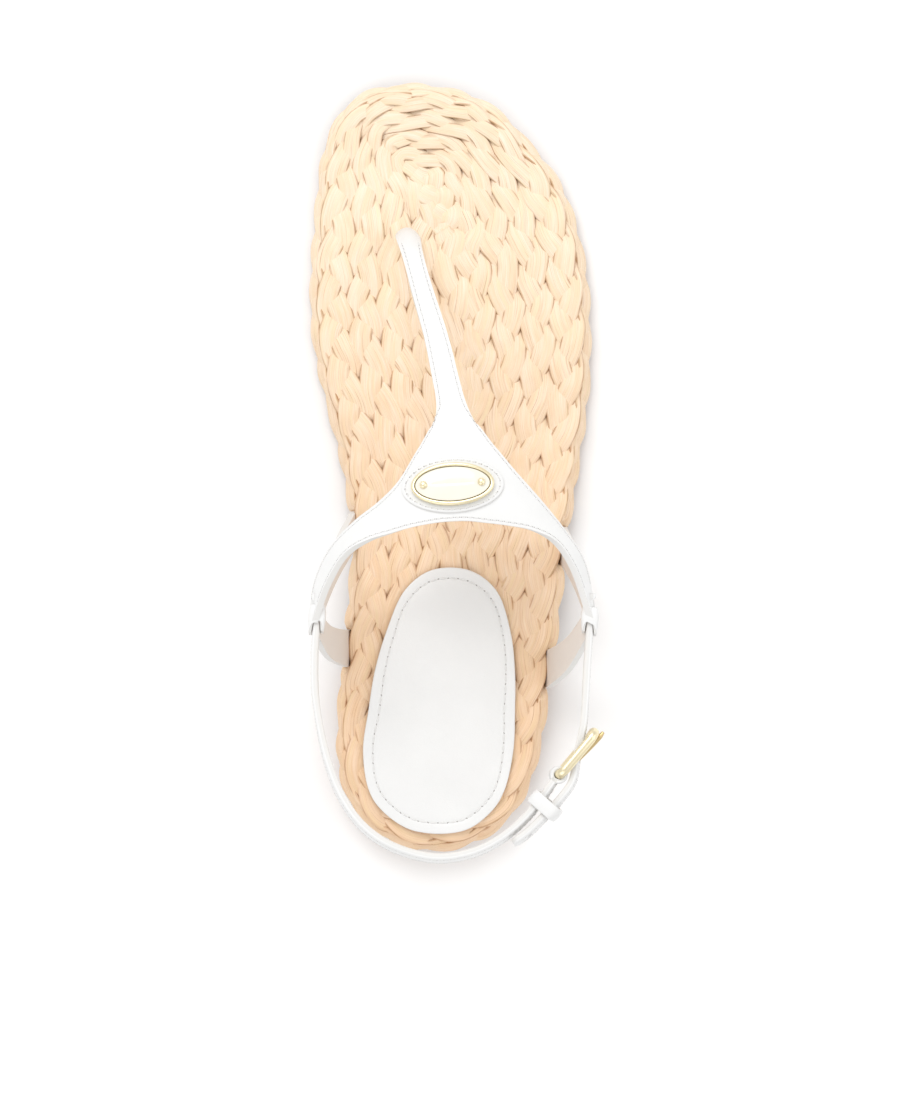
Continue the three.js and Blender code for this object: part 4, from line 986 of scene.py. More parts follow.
def sheet_solid(grids, half_wall):
    """A wall of leather from grids of points that share a seam, with its three kinds of face."""
    points, key_of, quads = [], {}, []
    for grid in grids:
        rows, columns = grid.shape[:2]
        number = np.empty((rows, columns), int)
        for j in range(rows):
            for i in range(columns):
                key = tuple(np.round(grid[j, i] * 1e6).astype(int))
                if key not in key_of:
                    key_of[key] = len(points)
                    points.append(grid[j, i])
                number[j, i] = key_of[key]
        for j in range(rows - 1):
            for i in range(columns - 1):
                corner = (number[j, i], number[j, i + 1], number[j + 1, i + 1], number[j + 1, i])
                quads.append(corner)
    points = np.array(points)
    quads = np.array(quads)
    a, b, c, d = points[quads].transpose(1, 0, 2)
    normal = np.cross(c - a, d - b)
    at_points = np.zeros_like(points)
    for k in range(4):
        np.add.at(at_points, quads[:, k], normal)
    at_points = unit_rows(at_points)
    half = half_wall(points)[:, None]
    vertices = np.vstack([points + at_points * half, points - at_points * half])
    count = len(points)
    faces = [tuple(q) for q in quads] + [tuple(q[::-1] + count) for q in quads]
    kinds = [0] * len(quads) + [1] * len(quads)
    rim = {}
    for q in quads:
        for k in range(4):
            a, b = q[k], q[(k + 1) % 4]
            if (b, a) in rim:
                del rim[(b, a)]
            else:
                rim[(a, b)] = True
    for a, b in rim:
        faces.append((b, a, a + count, b + count))
        kinds.append(2)
    return vertices, faces, kinds


def post_wall(points):
    """Half the wall's thickness, which grows down the toe strap to the post's."""
    below = post_full_below * instep_height - points[:, 2]
    low = np.clip(below / (post_taper * instep_height), 0, 1)
    return (upper_wall + (post_thickness - upper_wall) * low) / 2


neck_columns = 12
neck_first = 6.8
neck_last = 8.2
neck_places = np.linspace(neck_first, neck_last, neck_columns + 1)
inner_columns = np.linspace(0, neck_first, 53)
outer_columns = np.linspace(neck_last, 14, 45)
columns = np.concatenate([inner_columns, neck_places[1:], outer_columns[1:]])
shares = np.array([0, 0.06, 0.14, 0.25, 0.38, 0.5, 0.62, 0.75, 0.86, 0.94, 1])
yoke_grid = np.array([yoke_point(columns, share) for share in shares])[:, ::-1]

neck = yoke_point(neck_places, 0)
toe_strap_points = placed_rows([r[:3] for r in toe_strap_rows])
strap_centre = np.vstack([yoke_point(yoke_middle, 0), toe_strap_points])
width_at_yoke = 0.1022
width_rows = np.array([width_at_yoke] + [r[3] for r in toe_strap_rows])
strap_steps = np.linspace(0, len(strap_centre) - 1, 43)[1:]
strap_line = spline(strap_centre, strap_steps)
strap_half = 0.5 * ball_width * np.interp(strap_steps, np.arange(len(width_rows)), width_rows)
strap_run = np.linalg.norm(strap_line - strap_centre[0], axis=1)
row_share = np.linspace(-1, 1, neck_columns + 1)
post_bend = 0.0016
flare_length = 0.0085


def strap_row(p, half, bend):
    """Points across the toe strap. Where it turns down into the sole its middle stands out."""
    row = p + np.column_stack([row_share * half, np.zeros((len(row_share), 2))])
    row[:, 1] += bend * (1 - row_share**2)
    return row


flare = neck - strap_row(strap_centre[0], 0.5 * ball_width * width_at_yoke, 0)
strap_grid = [neck]
for p, half, far in zip(strap_line, strap_half, strap_run):
    bend = post_bend * np.clip((0.6 - p[2] / instep_height) / 0.3, 0, 1)
    flared = max(0, 1 - far / flare_length) ** 2.4
    strap_grid.append(strap_row(p, half, bend) + flare * flared)
strap_grid = np.array(strap_grid)


def leg_line(rows, t):
    """A leg's middle line from its foot on the outsole, up the sole's side and to the loop."""
    line = placed_rows(rows)
    foot = line[:1].copy()
    foot[:, 2] = outsole_top(foot[:, 1]) + clearance
    free = np.clip(1.5 * t - 0.5, 0, 1)
    return spline(np.vstack([foot, line]), t * 3), (leg_width / 2) * (1 - leg_narrowing * free)


def leg_grid(rows):
    line, half = leg_line(rows, np.linspace(0, 1, 25))
    grid = []
    for j, (p, reach) in enumerate(zip(line, half)):
        row = p + np.column_stack([np.zeros(5), np.linspace(-reach, reach, 5), np.zeros(5)])
        if j == 0:
            row[:, 2] = outsole_top(row[:, 1]) + clearance
        grid.append(row)
    return np.array(grid)


def softened(piece, width, segments=3, angle=0.6):
    """The piece with its edges rounded over, as one plain mesh."""
    bevel = piece.modifiers.new("round_edges", "BEVEL")
    bevel.width = width
    bevel.segments = segments
    bevel.limit_method = "ANGLE"
    bevel.angle_limit = angle
    piece.data = settled_mesh(piece, bevel)
    return piece


lining = leather_material("beige_lining", (0.76, 0.69, 0.63), 0.6, 0.7)
painted_edge = grained_material("painted_edge", (0.72, 0.71, 0.69), 0.5, 900, 0.2, 0.0002)
upper_finishes = [white_nappa, lining, painted_edge]
strap_width = 0.0065
strap_thickness = 0.0022
strap_lean = 0.3
sleeve_wall = 0.0013
strap_middle = (0.002, 0.3)
lean_below = 0.22
sleeve_length = 0.008
sleeve_along = 0.306
sleeve_inner_corner = 0.0006
sleeve_outer_corner = 0.0014
sleeve_cut = 0.42
sleeve_cut_inside = 0.08
heel_strap_rows = [
    (-0.425, 0.34, 0.757), (-0.43, 0.306, 0.77), (-0.437, 0.255, 0.793), (-0.432, 0.2056, 0.817),
    (-0.394, 0.133, 0.863), (-0.342, 0.084, 0.9), (-0.27, 0.0476, 0.925), (-0.171, 0.0226, 0.945),
    (-0.022, 0.008, 0.955), (0.099, 0.0137, 0.948), (0.192, 0.029, 0.934), (0.269, 0.0508, 0.917),
    (0.335, 0.0774, 0.897), (0.39, 0.1056, 0.873),
]
front_strap_rows = [
    (0.51, 0.34, 0.757), (0.511, 0.306, 0.77), (0.5, 0.242, 0.802), (0.494, 0.2, 0.825),
    (0.488, 0.174, 0.842), (0.466, 0.1365, 0.853), (0.45, 0.1035, 0.87), (0.406, 0.0805, 0.892),
    (0.352, 0.0592, 0.912), (0.295, 0.0392, 0.928), (0.246, 0.0262, 0.938),
]
heel_path = placed_rows(heel_strap_rows)
front_path = placed_rows(front_strap_rows)
path_step = 1e-3


def path_point(path, t):
    """Points on a path at shares of it from 0 to 1."""
    return spline(path, np.clip(t, 0, 1) * (len(path) - 1))


def strap_axes(path, t):
    """Points on a strap's path, with the way out from the foot and the way up its width."""
    t = np.atleast_1d(np.asarray(t, float))
    p = path_point(path, t)
    ahead = path_point(path, t + path_step) - path_point(path, t - path_step)
    ahead[:, 2] = 0
    ahead = unit_rows(ahead)
    out = np.column_stack([ahead[:, 1], -ahead[:, 0], np.zeros(len(t))])
    from_middle = p - np.array([strap_middle[0], (strap_middle[1] - heel_seat) * sole_length, 0])
    out[(out[:, :2] * from_middle[:, :2]).sum(axis=1) < 0] *= -1
    behind = (lean_below - heel_seat) * sole_length - p[:, 1]
    back = np.clip(behind / (lean_below * sole_length), 0, 1)
    lean = (strap_lean * back)[:, None]
    up = np.array([0, 0, 1.0])
    high = up * np.cos(lean) - out * np.sin(lean)
    wide = out * np.cos(lean) + up * np.sin(lean)
    return p, wide, high


def where_along(path, along):
    t = np.linspace(0, 0.5, 400)
    y = path_point(path, t)[:, 1]
    return t[np.abs(y - (along - heel_seat) * sole_length).argmin()]


def rounded_box(deep, tall, radius, corner_steps=5):
    """A rounded rectangle across a strap, as (out, up) pairs, from the middle of its outside."""
    pairs = []
    for quarter, (a, b) in enumerate([(1, 1), (-1, 1), (-1, -1), (1, -1)]):
        middle_a = a * (deep / 2 - radius)
        middle_b = b * (tall / 2 - radius)
        for k in range(corner_steps + 1):
            angle = (quarter + k / corner_steps) * math.pi / 2
            pairs.append((middle_a + radius * math.cos(angle), middle_b + radius * math.sin(angle)))
    return np.array(pairs)


def band_round(stations, outer, inner, cut=None):
    """A closed band of leather round a strap, through stations of (point, wide, high).

    A cut gives, for each point of the section, how far its rear end is drawn along the strap.
    """
    outside, inside = [], []
    for level, (p, wide, high) in enumerate(stations):
        axes = np.array([wide, high])
        drawn = 0
        if cut is not None:
            rear = (level / (len(stations) - 1)) ** 1.5
            drawn = np.outer(cut * rear, stations[-1][0] - stations[0][0])
        outside.append(p + outer[level] @ axes + drawn)
        inside.append(p + inner @ axes + drawn)
    rings = outside + inside[::-1]
    kinds = []
    for level in range(len(rings)):
        rim = level in (len(outside) - 1, len(rings) - 1)
        kinds += [2 if rim else (0 if level < len(outside) else 1)] * len(inner)
    return np.vstack(rings), ring_faces(len(rings), len(inner)), kinds


def facing_out(piece):
    """The piece with its doubles merged and its faces turned outwards."""
    shape = bmesh.new()
    shape.from_mesh(piece.data)
    bmesh.ops.remove_doubles(shape, verts=shape.verts, dist=1e-6)
    bmesh.ops.recalc_face_normals(shape, faces=shape.faces)
    shape.to_mesh(piece.data)
    shape.free()
    piece.data.update()
    return piece


def sleeve(path):
    """The loop at the top of the legs: open at the top towards the heel, its walls longer."""
    t = where_along(path, sleeve_along)
    near = path_point(path, np.array([t + path_step])) - path_point(path, np.array([t - path_step]))
    speed = np.linalg.norm(near) / (2 * path_step)
    places = np.linspace(t - 0.7 * sleeve_length / speed, t + 0.5 * sleeve_length / speed, 9)
    stations = list(zip(*strap_axes(path, places)))
    deep = strap_thickness + 2 * clearance
    tall = strap_width + 2 * clearance
    inner = rounded_box(deep, tall, sleeve_inner_corner)
    outer = []
    for share in np.linspace(-1, 1, len(places)):
        wall = sleeve_wall * (1 - 0.35 * share**2)
        outer.append(rounded_box(deep + 2 * wall, tall + 2 * wall, sleeve_outer_corner))
    shape = outer[len(outer) // 2]
    high_share = np.clip(shape[:, 1] / shape[:, 1].max(), -1, 1)
    cut = -sleeve_cut * np.clip(high_share, 0, 1) ** 4 - sleeve_cut_inside * (shape[:, 0] < 0)
    return band_round(stations, outer, inner, cut)


def joined_up(name, parts, finishes):
    """One mesh piece from several lists of (vertices, faces, kinds)."""
    vertices, faces, kinds, base = [], [], [], 0
    for part_vertices, part_faces, part_kinds in parts:
        vertices.append(part_vertices)
        faces.extend(tuple(int(k) + base for k in face) for face in part_faces)
        kinds.extend(part_kinds)
        base += len(part_vertices)
    return mesh_piece(name, np.vstack(vertices), faces, finishes, kinds)


upper_parts = [sheet_solid([yoke_grid, strap_grid], post_wall)]
for name, rows in leg_rows.items():
    grid = leg_grid(rows)
    if name.startswith("inner"):
        grid = grid[:, ::-1]
    upper_parts.append(sheet_solid([grid], lambda p: np.full(len(p), upper_wall / 2)))
upper_parts += [sleeve(heel_path), sleeve(front_path)]
upper_edge_round = 0.00045
upper = facing_out(joined_up("upper_leather", upper_parts, upper_finishes))
softened(upper, upper_edge_round)
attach(upper, "root")
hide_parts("upper")

# Overlay: an oval of the same white hide, cut a little larger than the plaque that it carries.
# It is sewn flat to the yoke, so it follows the yoke's bend.
patch_rise = 0.0009
patch_margin_long = 0.003
patch_margin_wide = 0.002
plaque_length = 0.026
plaque_width = 0.0135
badge_column = 7.42
badge_share = 0.66


def yoke_ways(column, share, column_step, share_step):
    """Which way the yoke runs across the foot and towards the toe at a spot on it."""
    across = yoke_point(column + column_step, share) - yoke_point(column - column_step, share)
    along = yoke_point(column, share - share_step) - yoke_point(column, share + share_step)
    return across, along


def badge_frame():
    """The plaque's middle on the yoke, with its long way, its short way and the way out."""
    p = yoke_point(badge_column, badge_share)[0]
    across, along = (way[0] for way in yoke_ways(badge_column, badge_share, 0.4, 0.15))
    across /= np.linalg.norm(across)
    out = np.cross(across, along)
    out /= np.linalg.norm(out)
    return p, across, np.cross(out, across), out


badge_middle, badge_across, badge_along, badge_out = badge_frame()


def badge_spot(a, b, height=0.0):
    """Points at distances along the plaque's long and short ways, at a height over its plane."""
    flat = badge_middle + np.outer(a, badge_across) + np.outer(b, badge_along)
    return flat + np.outer(height, badge_out)


def on_yoke(a, b):
    """Height of the yoke over spots on the plaque's plane, by a search over the sheet."""
    target = badge_spot(a, b)
    column = np.full(len(target), badge_column)
    share = np.full(len(target), badge_share)
    for _ in range(30):
        miss = target - yoke_point(column, share)
        column += 120 * (miss @ badge_across)
        share = np.clip(share - 22 * (miss @ badge_along), 0, 1)
    return (yoke_point(column, share) - badge_middle) @ badge_out


def round_angles(sides):
    return np.linspace(0, 2 * math.pi, sides, endpoint=False)


def oval_ring(half_long, half_wide, lift, sides=96):
    """A ring over the yoke at a lift above its middle surface."""
    angle = round_angles(sides)
    a = half_long * np.cos(angle)
    b = half_wide * np.sin(angle)
    return badge_spot(a, b, on_yoke(a, b) + lift)


def oval_stack(name, half_long, half_wide, steps, finishes, edge_levels=()):
    """A solid of ovals over the yoke. A step is (how far inside the edge, lift)."""
    rings = []
    for inside, lift in steps:
        rings.append(oval_ring(half_long - inside, half_wide - min(inside, half_wide * 0.96), lift))
    vertices, faces = stacked_rings(rings)
    sides = len(rings[0])
    kinds = []
    for level in range(len(rings) - 1):
        kinds += [2 if level in edge_levels else 0] * sides
    kinds += [0, 0] * sides
    return facing_out(mesh_piece(name, vertices, faces, finishes, kinds))


skin = upper_wall / 2
patch_long = plaque_length / 2 + patch_margin_long
patch_wide = plaque_width / 2 + patch_margin_wide
patch_steps = [
    (0.004, skin * 0.3), (0, skin * 0.3), (0, skin + 0.0005), (0.0001, skin + 0.00075),
    (0.00035, skin + patch_rise), (0.001, skin + patch_rise + 0.00005), (0.004, skin + patch_rise),
    (0.007, skin + patch_rise),
]
overlay = oval_stack("plaque_overlay", patch_long, patch_wide, patch_steps, upper_finishes, (1, 2))
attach(overlay, "root")
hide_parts("upper")

# Upper seams: white thread 1.1 mm inside every edge, which holds the lining to the nappa, and
# one row round the overlay.
seam_inset = 0.0011
toe_seam_end = 0.026


def yoke_seam(first, last, from_back):
    """A seam inside the yoke's front or back edge, between two of its columns."""
    column = np.linspace(first, last, 90)
    width = np.linalg.norm(spline(yoke_front, column) - spline(yoke_back, column), axis=1)
    share = seam_inset / width
    if from_back:
        share = 1 - share
    normal = unit_rows(np.cross(*yoke_ways(column, share, 0.02, 0.02)))
    return yoke_point(column, share) + normal * (upper_wall / 2), normal


def toe_strap_seam(side):
    """A seam down one edge of the toe strap, to where it turns into the post."""
    rows = strap_grid[2:] if side < 0 else strap_grid[2:, ::-1]
    across = unit_rows(rows[:, 2] - rows[:, 0])
    ahead = np.gradient(rows[:, 1], axis=0)
    normal = unit_rows(np.cross(across, ahead) * -side)
    line = rows[:, 0] + across * seam_inset
    line = line + normal * post_wall(line)[:, None]
    shown = line[:, 2] > toe_seam_end
    return line[shown], normal[shown]


def leg_seams(rows):
    """The two seams of a leg, inside its edges."""
    side = math.copysign(1, rows[0][0])
    t = np.linspace(0.05, 0.95, 60)
    line, half = leg_line(rows, t)
    half = half - seam_inset
    ahead = np.gradient(line, axis=0)
    normal = unit_rows(np.cross(np.tile([0, side, 0.0], (len(t), 1)), ahead))
    seams = []
    for edge in (-1, 1):
        offset = np.column_stack([np.zeros(len(t)), edge * half, np.zeros(len(t))])
        points = line + offset + normal * (upper_wall / 2)
        seams.append((points, normal, 1.0, False))
    return seams


seams = []
inner_end = 0.6
outer_end = 13.4
for side, first, neck_column in ((-1, inner_end, 6.6), (1, outer_end, 8.4)):
    yoke_line, yoke_face = yoke_seam(first, neck_column, False)
    strap_seam, strap_face = toe_strap_seam(side)
    seam_line = np.vstack([yoke_line, strap_seam])
    seams.append((seam_line, np.vstack([yoke_face, strap_face]), 1.0, False))
back_line, back_face = yoke_seam(inner_end, outer_end, True)
seams.append((back_line, back_face, 1.0, False))
for rows in leg_rows.values():
    seams += leg_seams(rows)
oval_seam = oval_ring(patch_long - 0.0012, patch_wide - 0.0009, skin + patch_rise)
seams.append((oval_seam, badge_out, 1.0, True))
upper_seam_values = {"Pitch": 0.0019, "Stitch Length": 0.00125, "Thread": 0.00045}
upper_seam_values.update(thread_finish)
seam_mesh = line_mesh("upper_seams", seams)
upper_stitches = grown("upper_stitches", seam_mesh, stitches, upper_seam_values)
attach(upper_stitches, "root")

# Slingback: two straps of nappa folded over a lining, 6.5 mm wide. The heel strap runs from the
# inner loop round the heel to the buckle's bar; the front strap from the outer loop through it.
buckle_wire = 0.0024
buckle_height = 0.012
prong_wire = 0.0016
bar_point = placed_rows([(0.401, 0.1113, 0.863)])[0]
front_point = placed_rows([(0.525, 0.1653, 0.845)])[0]
frame_length = np.linalg.norm(front_point - bar_point)
buckle_along = (front_point - bar_point) / frame_length
buckle_out = np.cross(buckle_along, (0, 0, 1))
buckle_out /= np.linalg.norm(buckle_out)
buckle_up = np.cross(buckle_out, buckle_along)
buckle_up /= np.linalg.norm(buckle_up)
buckle_axes = np.array([buckle_along, buckle_out, buckle_up])
eye_inside = buckle_wire / 2 + clearance
eye_outside = eye_inside + 0.0011
fold_outside = eye_inside + sleeve_wall
fold_extra = 0.0016
fold_ends = 0.026
fold_taper = 0.006
strap_edge_round = 0.0002


def buckle_spot(a, n, h):
    return bar_point + np.stack(np.broadcast_arrays(a, n, h), axis=-1) @ buckle_axes


def strap_sweep(path, t, thickness, height):
    """A strap with softly rounded edges along its path, closed at both ends."""
    p, wide, high = strap_axes(path, t)
    rings = []
    for k in range(len(t)):
        section = rounded_box(thickness[k], height[k], min(0.00075, 0.45 * height[k]), 4)
        rings.append(p[k] + section @ np.array([wide[k], high[k]]))
    vertices, faces = stacked_rings(rings)
    kind_of = []
    for corner_kind, flat_kind in ((0, 2), (1, 1), (1, 2), (0, 0)):
        kind_of += [corner_kind] * 4 + [flat_kind]
    kinds = kind_of * (len(rings) - 1) + [2, 2] * len(kind_of)
    return vertices, faces, kinds


def bar_circle(radius, height, sides):
    angle = round_angles(sides)
    return buckle_spot(radius * np.cos(angle), radius * np.sin(angle), height)


def bar_ring(inner, outer, tall, sides=40):
    """A tube round the buckle's bar."""
    levels = [(outer, -tall / 2), (outer, tall / 2), (inner, tall / 2), (inner, -tall / 2)]
    rings = [bar_circle(radius, height, sides) for radius, height in levels]
    faces = ring_faces(len(rings), sides)
    return np.vstack(rings), faces, [0] * len(faces)


def bar_plug(radius, tall, sides=40):
    """A solid cylinder on the buckle's bar."""
    rings = [bar_circle(radius, height, sides) for height in (-tall / 2, tall / 2)]
    vertices, faces = stacked_rings(rings)
    return vertices, faces, [0] * len(faces)


def round_rod(points, radii, sides=16):
    """A round bar along a smooth line, with a radius at each of its points."""
    at = np.linspace(0, len(points) - 1, 12 * (len(points) - 1) + 1)
    line = spline(points, at)
    radius = np.interp(at, np.arange(len(radii)), radii)
    ahead = unit_rows(np.gradient(line, axis=0))
    helper = np.where(np.abs(ahead[:, 2:]) > 0.8, [[1.0, 0, 0]], [[0, 0, 1.0]])
    side = unit_rows(np.cross(helper, ahead))
    top = np.cross(ahead, side)
    angle = round_angles(sides)
    rings = []
    for p, r, s, u in zip(line, radius, side, top):
        rings.append(p + r * (np.outer(np.cos(angle), s) + np.outer(np.sin(angle), u)))
    vertices, faces = stacked_rings(rings)
    return vertices, faces, [0] * len(faces)


def carved(piece, part, operation="DIFFERENCE"):
    """The piece with a solid cut out of it or joined to it, as one plain mesh."""
    vertices, faces, kinds = part
    other = facing_out(mesh_piece("cutter", vertices, faces, list(piece.data.materials), kinds))
    modifier = piece.modifiers.new("carve", "BOOLEAN")
    modifier.operation = operation
    modifier.solver = "EXACT"
    modifier.object = other
    piece.data = settled_mesh(piece, modifier)
    bpy.data.objects.remove(other)
    return piece


def end_fold(t):
    """The strap's thickness, with the end that is folded back inside the loop."""
    return strap_thickness + fold_extra * np.clip((fold_ends - t) / fold_taper, 0, 1)


prong_rest = buckle_wire / 2 + clearance + prong_wire / 2
prong_line = np.array(
    [
        buckle_spot(eye_outside - 0.0004, 0.0009, 0),
        buckle_spot(frame_length * 0.5, 0.0017, 0),
        buckle_spot(frame_length, prong_rest, 0),
        buckle_spot(frame_length + 0.0018, prong_rest - 0.0001, 0),
    ]
)
eye_height = prong_wire + 0.0006
prong_room = round_rod(prong_line, [prong_wire / 2 + clearance] * 4)
pale_lining = leather_material("pale_lining", (0.76, 0.74, 0.71), 0.55, 0.7)
strap_finishes = [white_nappa, pale_lining, painted_edge]
folded = np.linspace(0, 0.036, 13)
t = np.concatenate([folded, np.linspace(0.045, 1, 150)])
band = strap_sweep(heel_path, t, end_fold(t), np.full(len(t), strap_width))
heel_strap = facing_out(joined_up("heel_strap_leather", [band], strap_finishes))
carved(heel_strap, bar_plug(fold_outside - 0.0002, strap_width + 0.004))
carved(heel_strap, bar_ring(eye_inside, fold_outside, strap_width), "UNION")
carved(heel_strap, bar_plug(eye_outside + clearance, eye_height + 2 * clearance))
carved(heel_strap, prong_room)
facing_out(softened(heel_strap, strap_edge_round, 2, 0.9))
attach(heel_strap, "root")
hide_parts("heel_strap")

tip_start = 0.955
tip_length = 0.0462
hole_radius = 0.0008
hole_half = 0.003
straight = np.linspace(0.045, tip_start, 110)
t = np.concatenate([folded, straight, np.linspace(0.958, 1, 16)])
past_start = np.maximum(t - tip_start, 0) / tip_length
tip = strap_width * np.sqrt(np.maximum(1 - past_start**2, 0.02))
band = strap_sweep(front_path, t, end_fold(t), tip)
front_strap = facing_out(joined_up("front_strap_leather", [band], strap_finishes))
for place in (0.44, 0.9):
    p, wide, high = strap_axes(front_path, place)
    hole_ends = np.array([p[0] - hole_half * wide[0], p[0] + hole_half * wide[0]])
    carved(front_strap, round_rod(hole_ends, [hole_radius, hole_radius]))
carved(front_strap, prong_room)
facing_out(softened(front_strap, strap_edge_round, 2, 0.9))
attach(front_strap, "root")
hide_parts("front_strap")


strap_seam_inset = 0.00125


def strap_seams(path, first, last):
    """Two rows of stitches on the outside of a strap."""
    t = np.linspace(first, last, 200)
    p, wide, high = strap_axes(path, t)
    rows = []
    for edge in (-1, 1):
        reach = edge * (strap_width / 2 - strap_seam_inset)
        line = p + wide * (strap_thickness / 2) + high * reach
        rows.append((line, wide, 1.0, False))
    return rows


strap_seam_values = {"Pitch": 0.0022, "Stitch Length": 0.0016, "Thread": 0.00034}
strap_seam_values.update(thread_finish)
for name, path, first, last in (
    ("heel_strap_stitches", heel_path, 0.07, 0.965),
    ("front_strap_stitches", front_path, 0.1, 0.94),
):
    seam_mesh = line_mesh(name, strap_seams(path, first, last))
    row = grown(name, seam_mesh, stitches, strap_seam_values)
    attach(row, "root")

# Keeper: a loop of nappa just behind the buckle, which holds the strap's tip against the heel
# strap. Its ends are butted and stitched inside.
keeper_wall = 0.0012
keeper_width = 0.0046
keeper_room = 0.0016
keeper_along_front = 0.76
outer_p, outer_wide = (part[0] for part in strap_axes(front_path, keeper_along_front)[:2])
near_t = np.arange(0.8, 1, 0.002)
near = near_t[np.linalg.norm(path_point(heel_path, near_t) - outer_p, axis=1).argmin()]
inner_p, inner_wide, inner_high = (part[0] for part in strap_axes(heel_path, near))
keeper_wide = outer_wide + inner_wide
keeper_wide /= np.linalg.norm(keeper_wide)
keeper_high = inner_high - keeper_wide * (inner_high @ keeper_wide)
keeper_high /= np.linalg.norm(keeper_high)
keeper_along = np.cross(keeper_wide, keeper_high)
keeper_deep = abs((outer_p - inner_p) @ keeper_wide) + strap_thickness + keeper_room
keeper_tall = strap_width + keeper_room
keeper_middle = (inner_p + outer_p) / 2
stations = []
for s in np.linspace(-keeper_width / 2, keeper_width / 2, 5):
    stations.append((keeper_middle + s * keeper_along, keeper_wide, keeper_high))
keeper_shapes = []
for share in np.linspace(-1, 1, 5):
    wall = keeper_wall * (1 - 0.3 * share**2)
    keeper_shapes.append(rounded_box(keeper_deep + 2 * wall, keeper_tall + 2 * wall, 0.0024, 6))
keeper_inner = rounded_box(keeper_deep, keeper_tall, 0.0008, 6)
keeper_part = band_round(stations, keeper_shapes, keeper_inner)
keeper_edge_round = 0.0003
keeper = facing_out(joined_up("strap_keeper_leather", [keeper_part], strap_finishes))
softened(keeper, keeper_edge_round)
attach(keeper, "root")
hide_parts("strap_keeper")

# Buckle frame: one loop of cast zinc, plated pale gold and polished, nearly round in section.
# It bows outwards a little in its middle, away from the foot.
def gold_material(name, colour, roughness):
    material, tree, shader = new_material(name, colour, roughness, 1.0)
    place = add_node(tree, "ShaderNodeTexCoord")
    smear = add_node(tree, "ShaderNodeTexNoise")
    smear.inputs["Scale"].default_value = 420
    smear.inputs["Detail"].default_value = 4
    spread = add_node(tree, "ShaderNodeMapRange")
    spread.inputs["To Min"].default_value = roughness - 0.05
    spread.inputs["To Max"].default_value = roughness + 0.12
    bump = add_node(tree, "ShaderNodeBump")
    bump.inputs["Strength"].default_value = 0.06
    bump.inputs["Distance"].default_value = 0.0003
    tree.links.new(place.outputs["Object"], smear.inputs["Vector"])
    tree.links.new(smear.outputs["Fac"], spread.inputs["Value"])
    tree.links.new(spread.outputs["Result"], shader.inputs["Roughness"])
    tree.links.new(smear.outputs["Fac"], bump.inputs["Height"])
    tree.links.new(bump.outputs["Normal"], shader.inputs["Normal"])
    return material


pale_gold = gold_material("pale_gold_plate", (0.9, 0.8, 0.55), 0.28)
frame_half = (buckle_height - buckle_wire) / 2
frame_corner = 0.0025
frame_depth = 0.003
frame_bow = 0.0008
corner_middles = [
    (frame_length - frame_corner, frame_half - frame_corner),
    (frame_corner, frame_half - frame_corner),
    (frame_corner, frame_corner - frame_half),
    (frame_length - frame_corner, frame_corner - frame_half),
]
track = []
for quarter, (a, h) in enumerate(corner_middles):
    for k in range(11):
        angle = (quarter + k / 10) * math.pi / 2
        track.append((a + frame_corner * math.cos(angle), h + frame_corner * math.sin(angle)))
track = np.array(track)
run = before_and_after(track)
wire_angle = round_angles(18)
wire_rings = []
for (a, h), (run_a, run_h) in zip(track, run):
    reach = buckle_wire / 2 * np.cos(wire_angle)
    depth = frame_depth / 2 * np.sin(wire_angle) + frame_bow * (1 - (2 * a / frame_length - 1) ** 2)
    wire_rings.append(buckle_spot(a + run_h * reach, depth, h - run_a * reach))
wire_faces = ring_faces(len(track), len(wire_angle))
buckle = mesh_piece("buckle_frame_gold", np.vstack(wire_rings), wire_faces, [pale_gold])
facing_out(buckle)
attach(buckle, "root")
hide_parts("buckle_frame")

# Prong: drawn wire with one end rolled into an eye round the bar, its point resting on the
# frame's front. Its plating is darker than the frame's.
old_gold = gold_material("prong_gold", (0.62, 0.47, 0.24), 0.26)
eye_middle = (eye_inside + eye_outside) / 2
eye_section = round_angles(16)
eye_reach = eye_middle + (eye_outside - eye_inside) / 2 * np.cos(eye_section)
eye_lift = eye_height / 2 * np.sin(eye_section)
eye_rings = []
for turn in round_angles(36):
    eye_rings.append(buckle_spot(eye_reach * math.cos(turn), eye_reach * math.sin(turn), eye_lift))
eye_faces = ring_faces(len(eye_rings), len(eye_section))
prong_eye = (np.vstack(eye_rings), eye_faces, [0] * len(eye_faces))
prong_radii = [prong_wire / 2, prong_wire / 2, prong_wire / 2, prong_wire * 0.3]
prong_pin = round_rod(prong_line, prong_radii)
prong = facing_out(joined_up("buckle_prong_gold", [prong_eye, prong_pin], [old_gold]))
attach(prong, "root")
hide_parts("buckle_prong")

# Plaque tray: a shallow oval tray of pale gold with a raised and polished rim, bent with the
# yoke and fixed on the overlay.
tray_gap = 0.00042
tray_seat = skin + patch_rise + tray_gap
half_long = plaque_length / 2
half_wide = plaque_width / 2
tray_steps = [
    (0.006, tray_seat), (0.00015, tray_seat), (0, tray_seat + 0.00015), (0, tray_seat + 0.0011),
    (0.0001, tray_seat + 0.00132), (0.0003, tray_seat + 0.00148), (0.0006, tray_seat + 0.00153),
    (0.0009, tray_seat + 0.0015), (0.00108, tray_seat + 0.00138), (0.0012, tray_seat + 0.0011),
    (0.0012, tray_seat + 0.0006), (0.0013, tray_seat + 0.0005), (0.006, tray_seat + 0.0005),
]
tray = oval_stack("plaque_tray_gold", half_long, half_wide, tray_steps, [pale_gold])
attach(tray, "root")
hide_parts("plaque_tray")

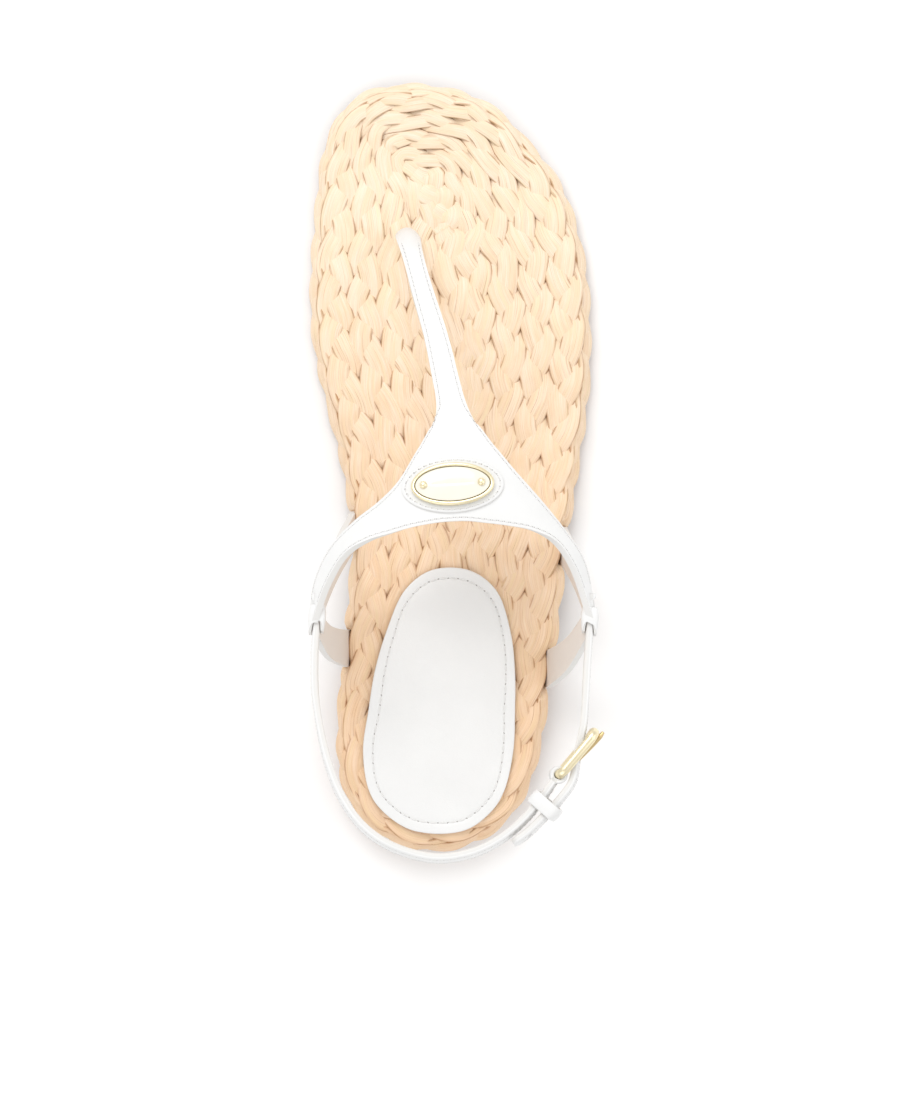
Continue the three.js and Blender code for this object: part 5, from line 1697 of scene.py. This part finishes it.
# Plaque face and pins: ivory enamel poured into the tray and ground smooth under a clear coat,
# with a small domed gold pin through each end.
ivory, ivory_tree, ivory_shader = new_material("ivory_enamel", (0.84, 0.8, 0.7), 0.16)
ivory_shader.inputs["Coat Weight"].default_value = 0.6
ivory_shader.inputs["Coat Roughness"].default_value = 0.06
enamel_tone = add_grain(ivory_tree, ivory_shader, 240, 0.05, 0.0003)
enamel_ramp = add_node(ivory_tree, "ShaderNodeValToRGB")
enamel_ramp.color_ramp.elements[0].color = (0.8, 0.755, 0.65, 1)
enamel_ramp.color_ramp.elements[1].color = (0.86, 0.83, 0.74, 1)
ivory_tree.links.new(enamel_tone.outputs["Fac"], enamel_ramp.inputs["Fac"])
ivory_tree.links.new(enamel_ramp.outputs["Color"], ivory_shader.inputs["Base Color"])
face_seat = tray_seat + 0.0008
face_steps = [
    (0.005, face_seat), (0, face_seat), (0, face_seat + 0.00045), (0.0002, face_seat + 0.0006),
    (0.0008, face_seat + 0.00072), (0.002, face_seat + 0.00082), (0.004, face_seat + 0.00088),
    (0.005, face_seat + 0.0009),
]
face_inset = 0.0014
face_long = half_long - face_inset
face_wide = half_wide - face_inset
enamel = oval_stack("plaque_face_enamel", face_long, face_wide, face_steps, [ivory])
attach(enamel, "root")
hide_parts("plaque_face")

pin_inset = 0.004
pin_rise = 0.00115
pin_steps = [
    (0.0011, 0), (0.00118, 0.0002), (0.00112, 0.0005), (0.00085, 0.0008), (0.0004, 0.00098),
    (0.0001, 0.001),
]
for name, side in (("plaque_pin_inner", -1), ("plaque_pin_outer", 1)):
    spot = side * (half_long - pin_inset)
    seat = on_yoke(np.array([spot]), np.array([0.0]))[0] + tray_seat + 2 * clearance + pin_rise
    turn = round_angles(28)
    rings = []
    for radius, height in pin_steps:
        rings.append(badge_spot(spot + radius * np.cos(turn), radius * np.sin(turn), seat + height))
    vertices, faces = stacked_rings(rings)
    pin = facing_out(mesh_piece(name + "_gold", vertices, faces, [pale_gold]))
    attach(pin, "root")
    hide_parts(name)
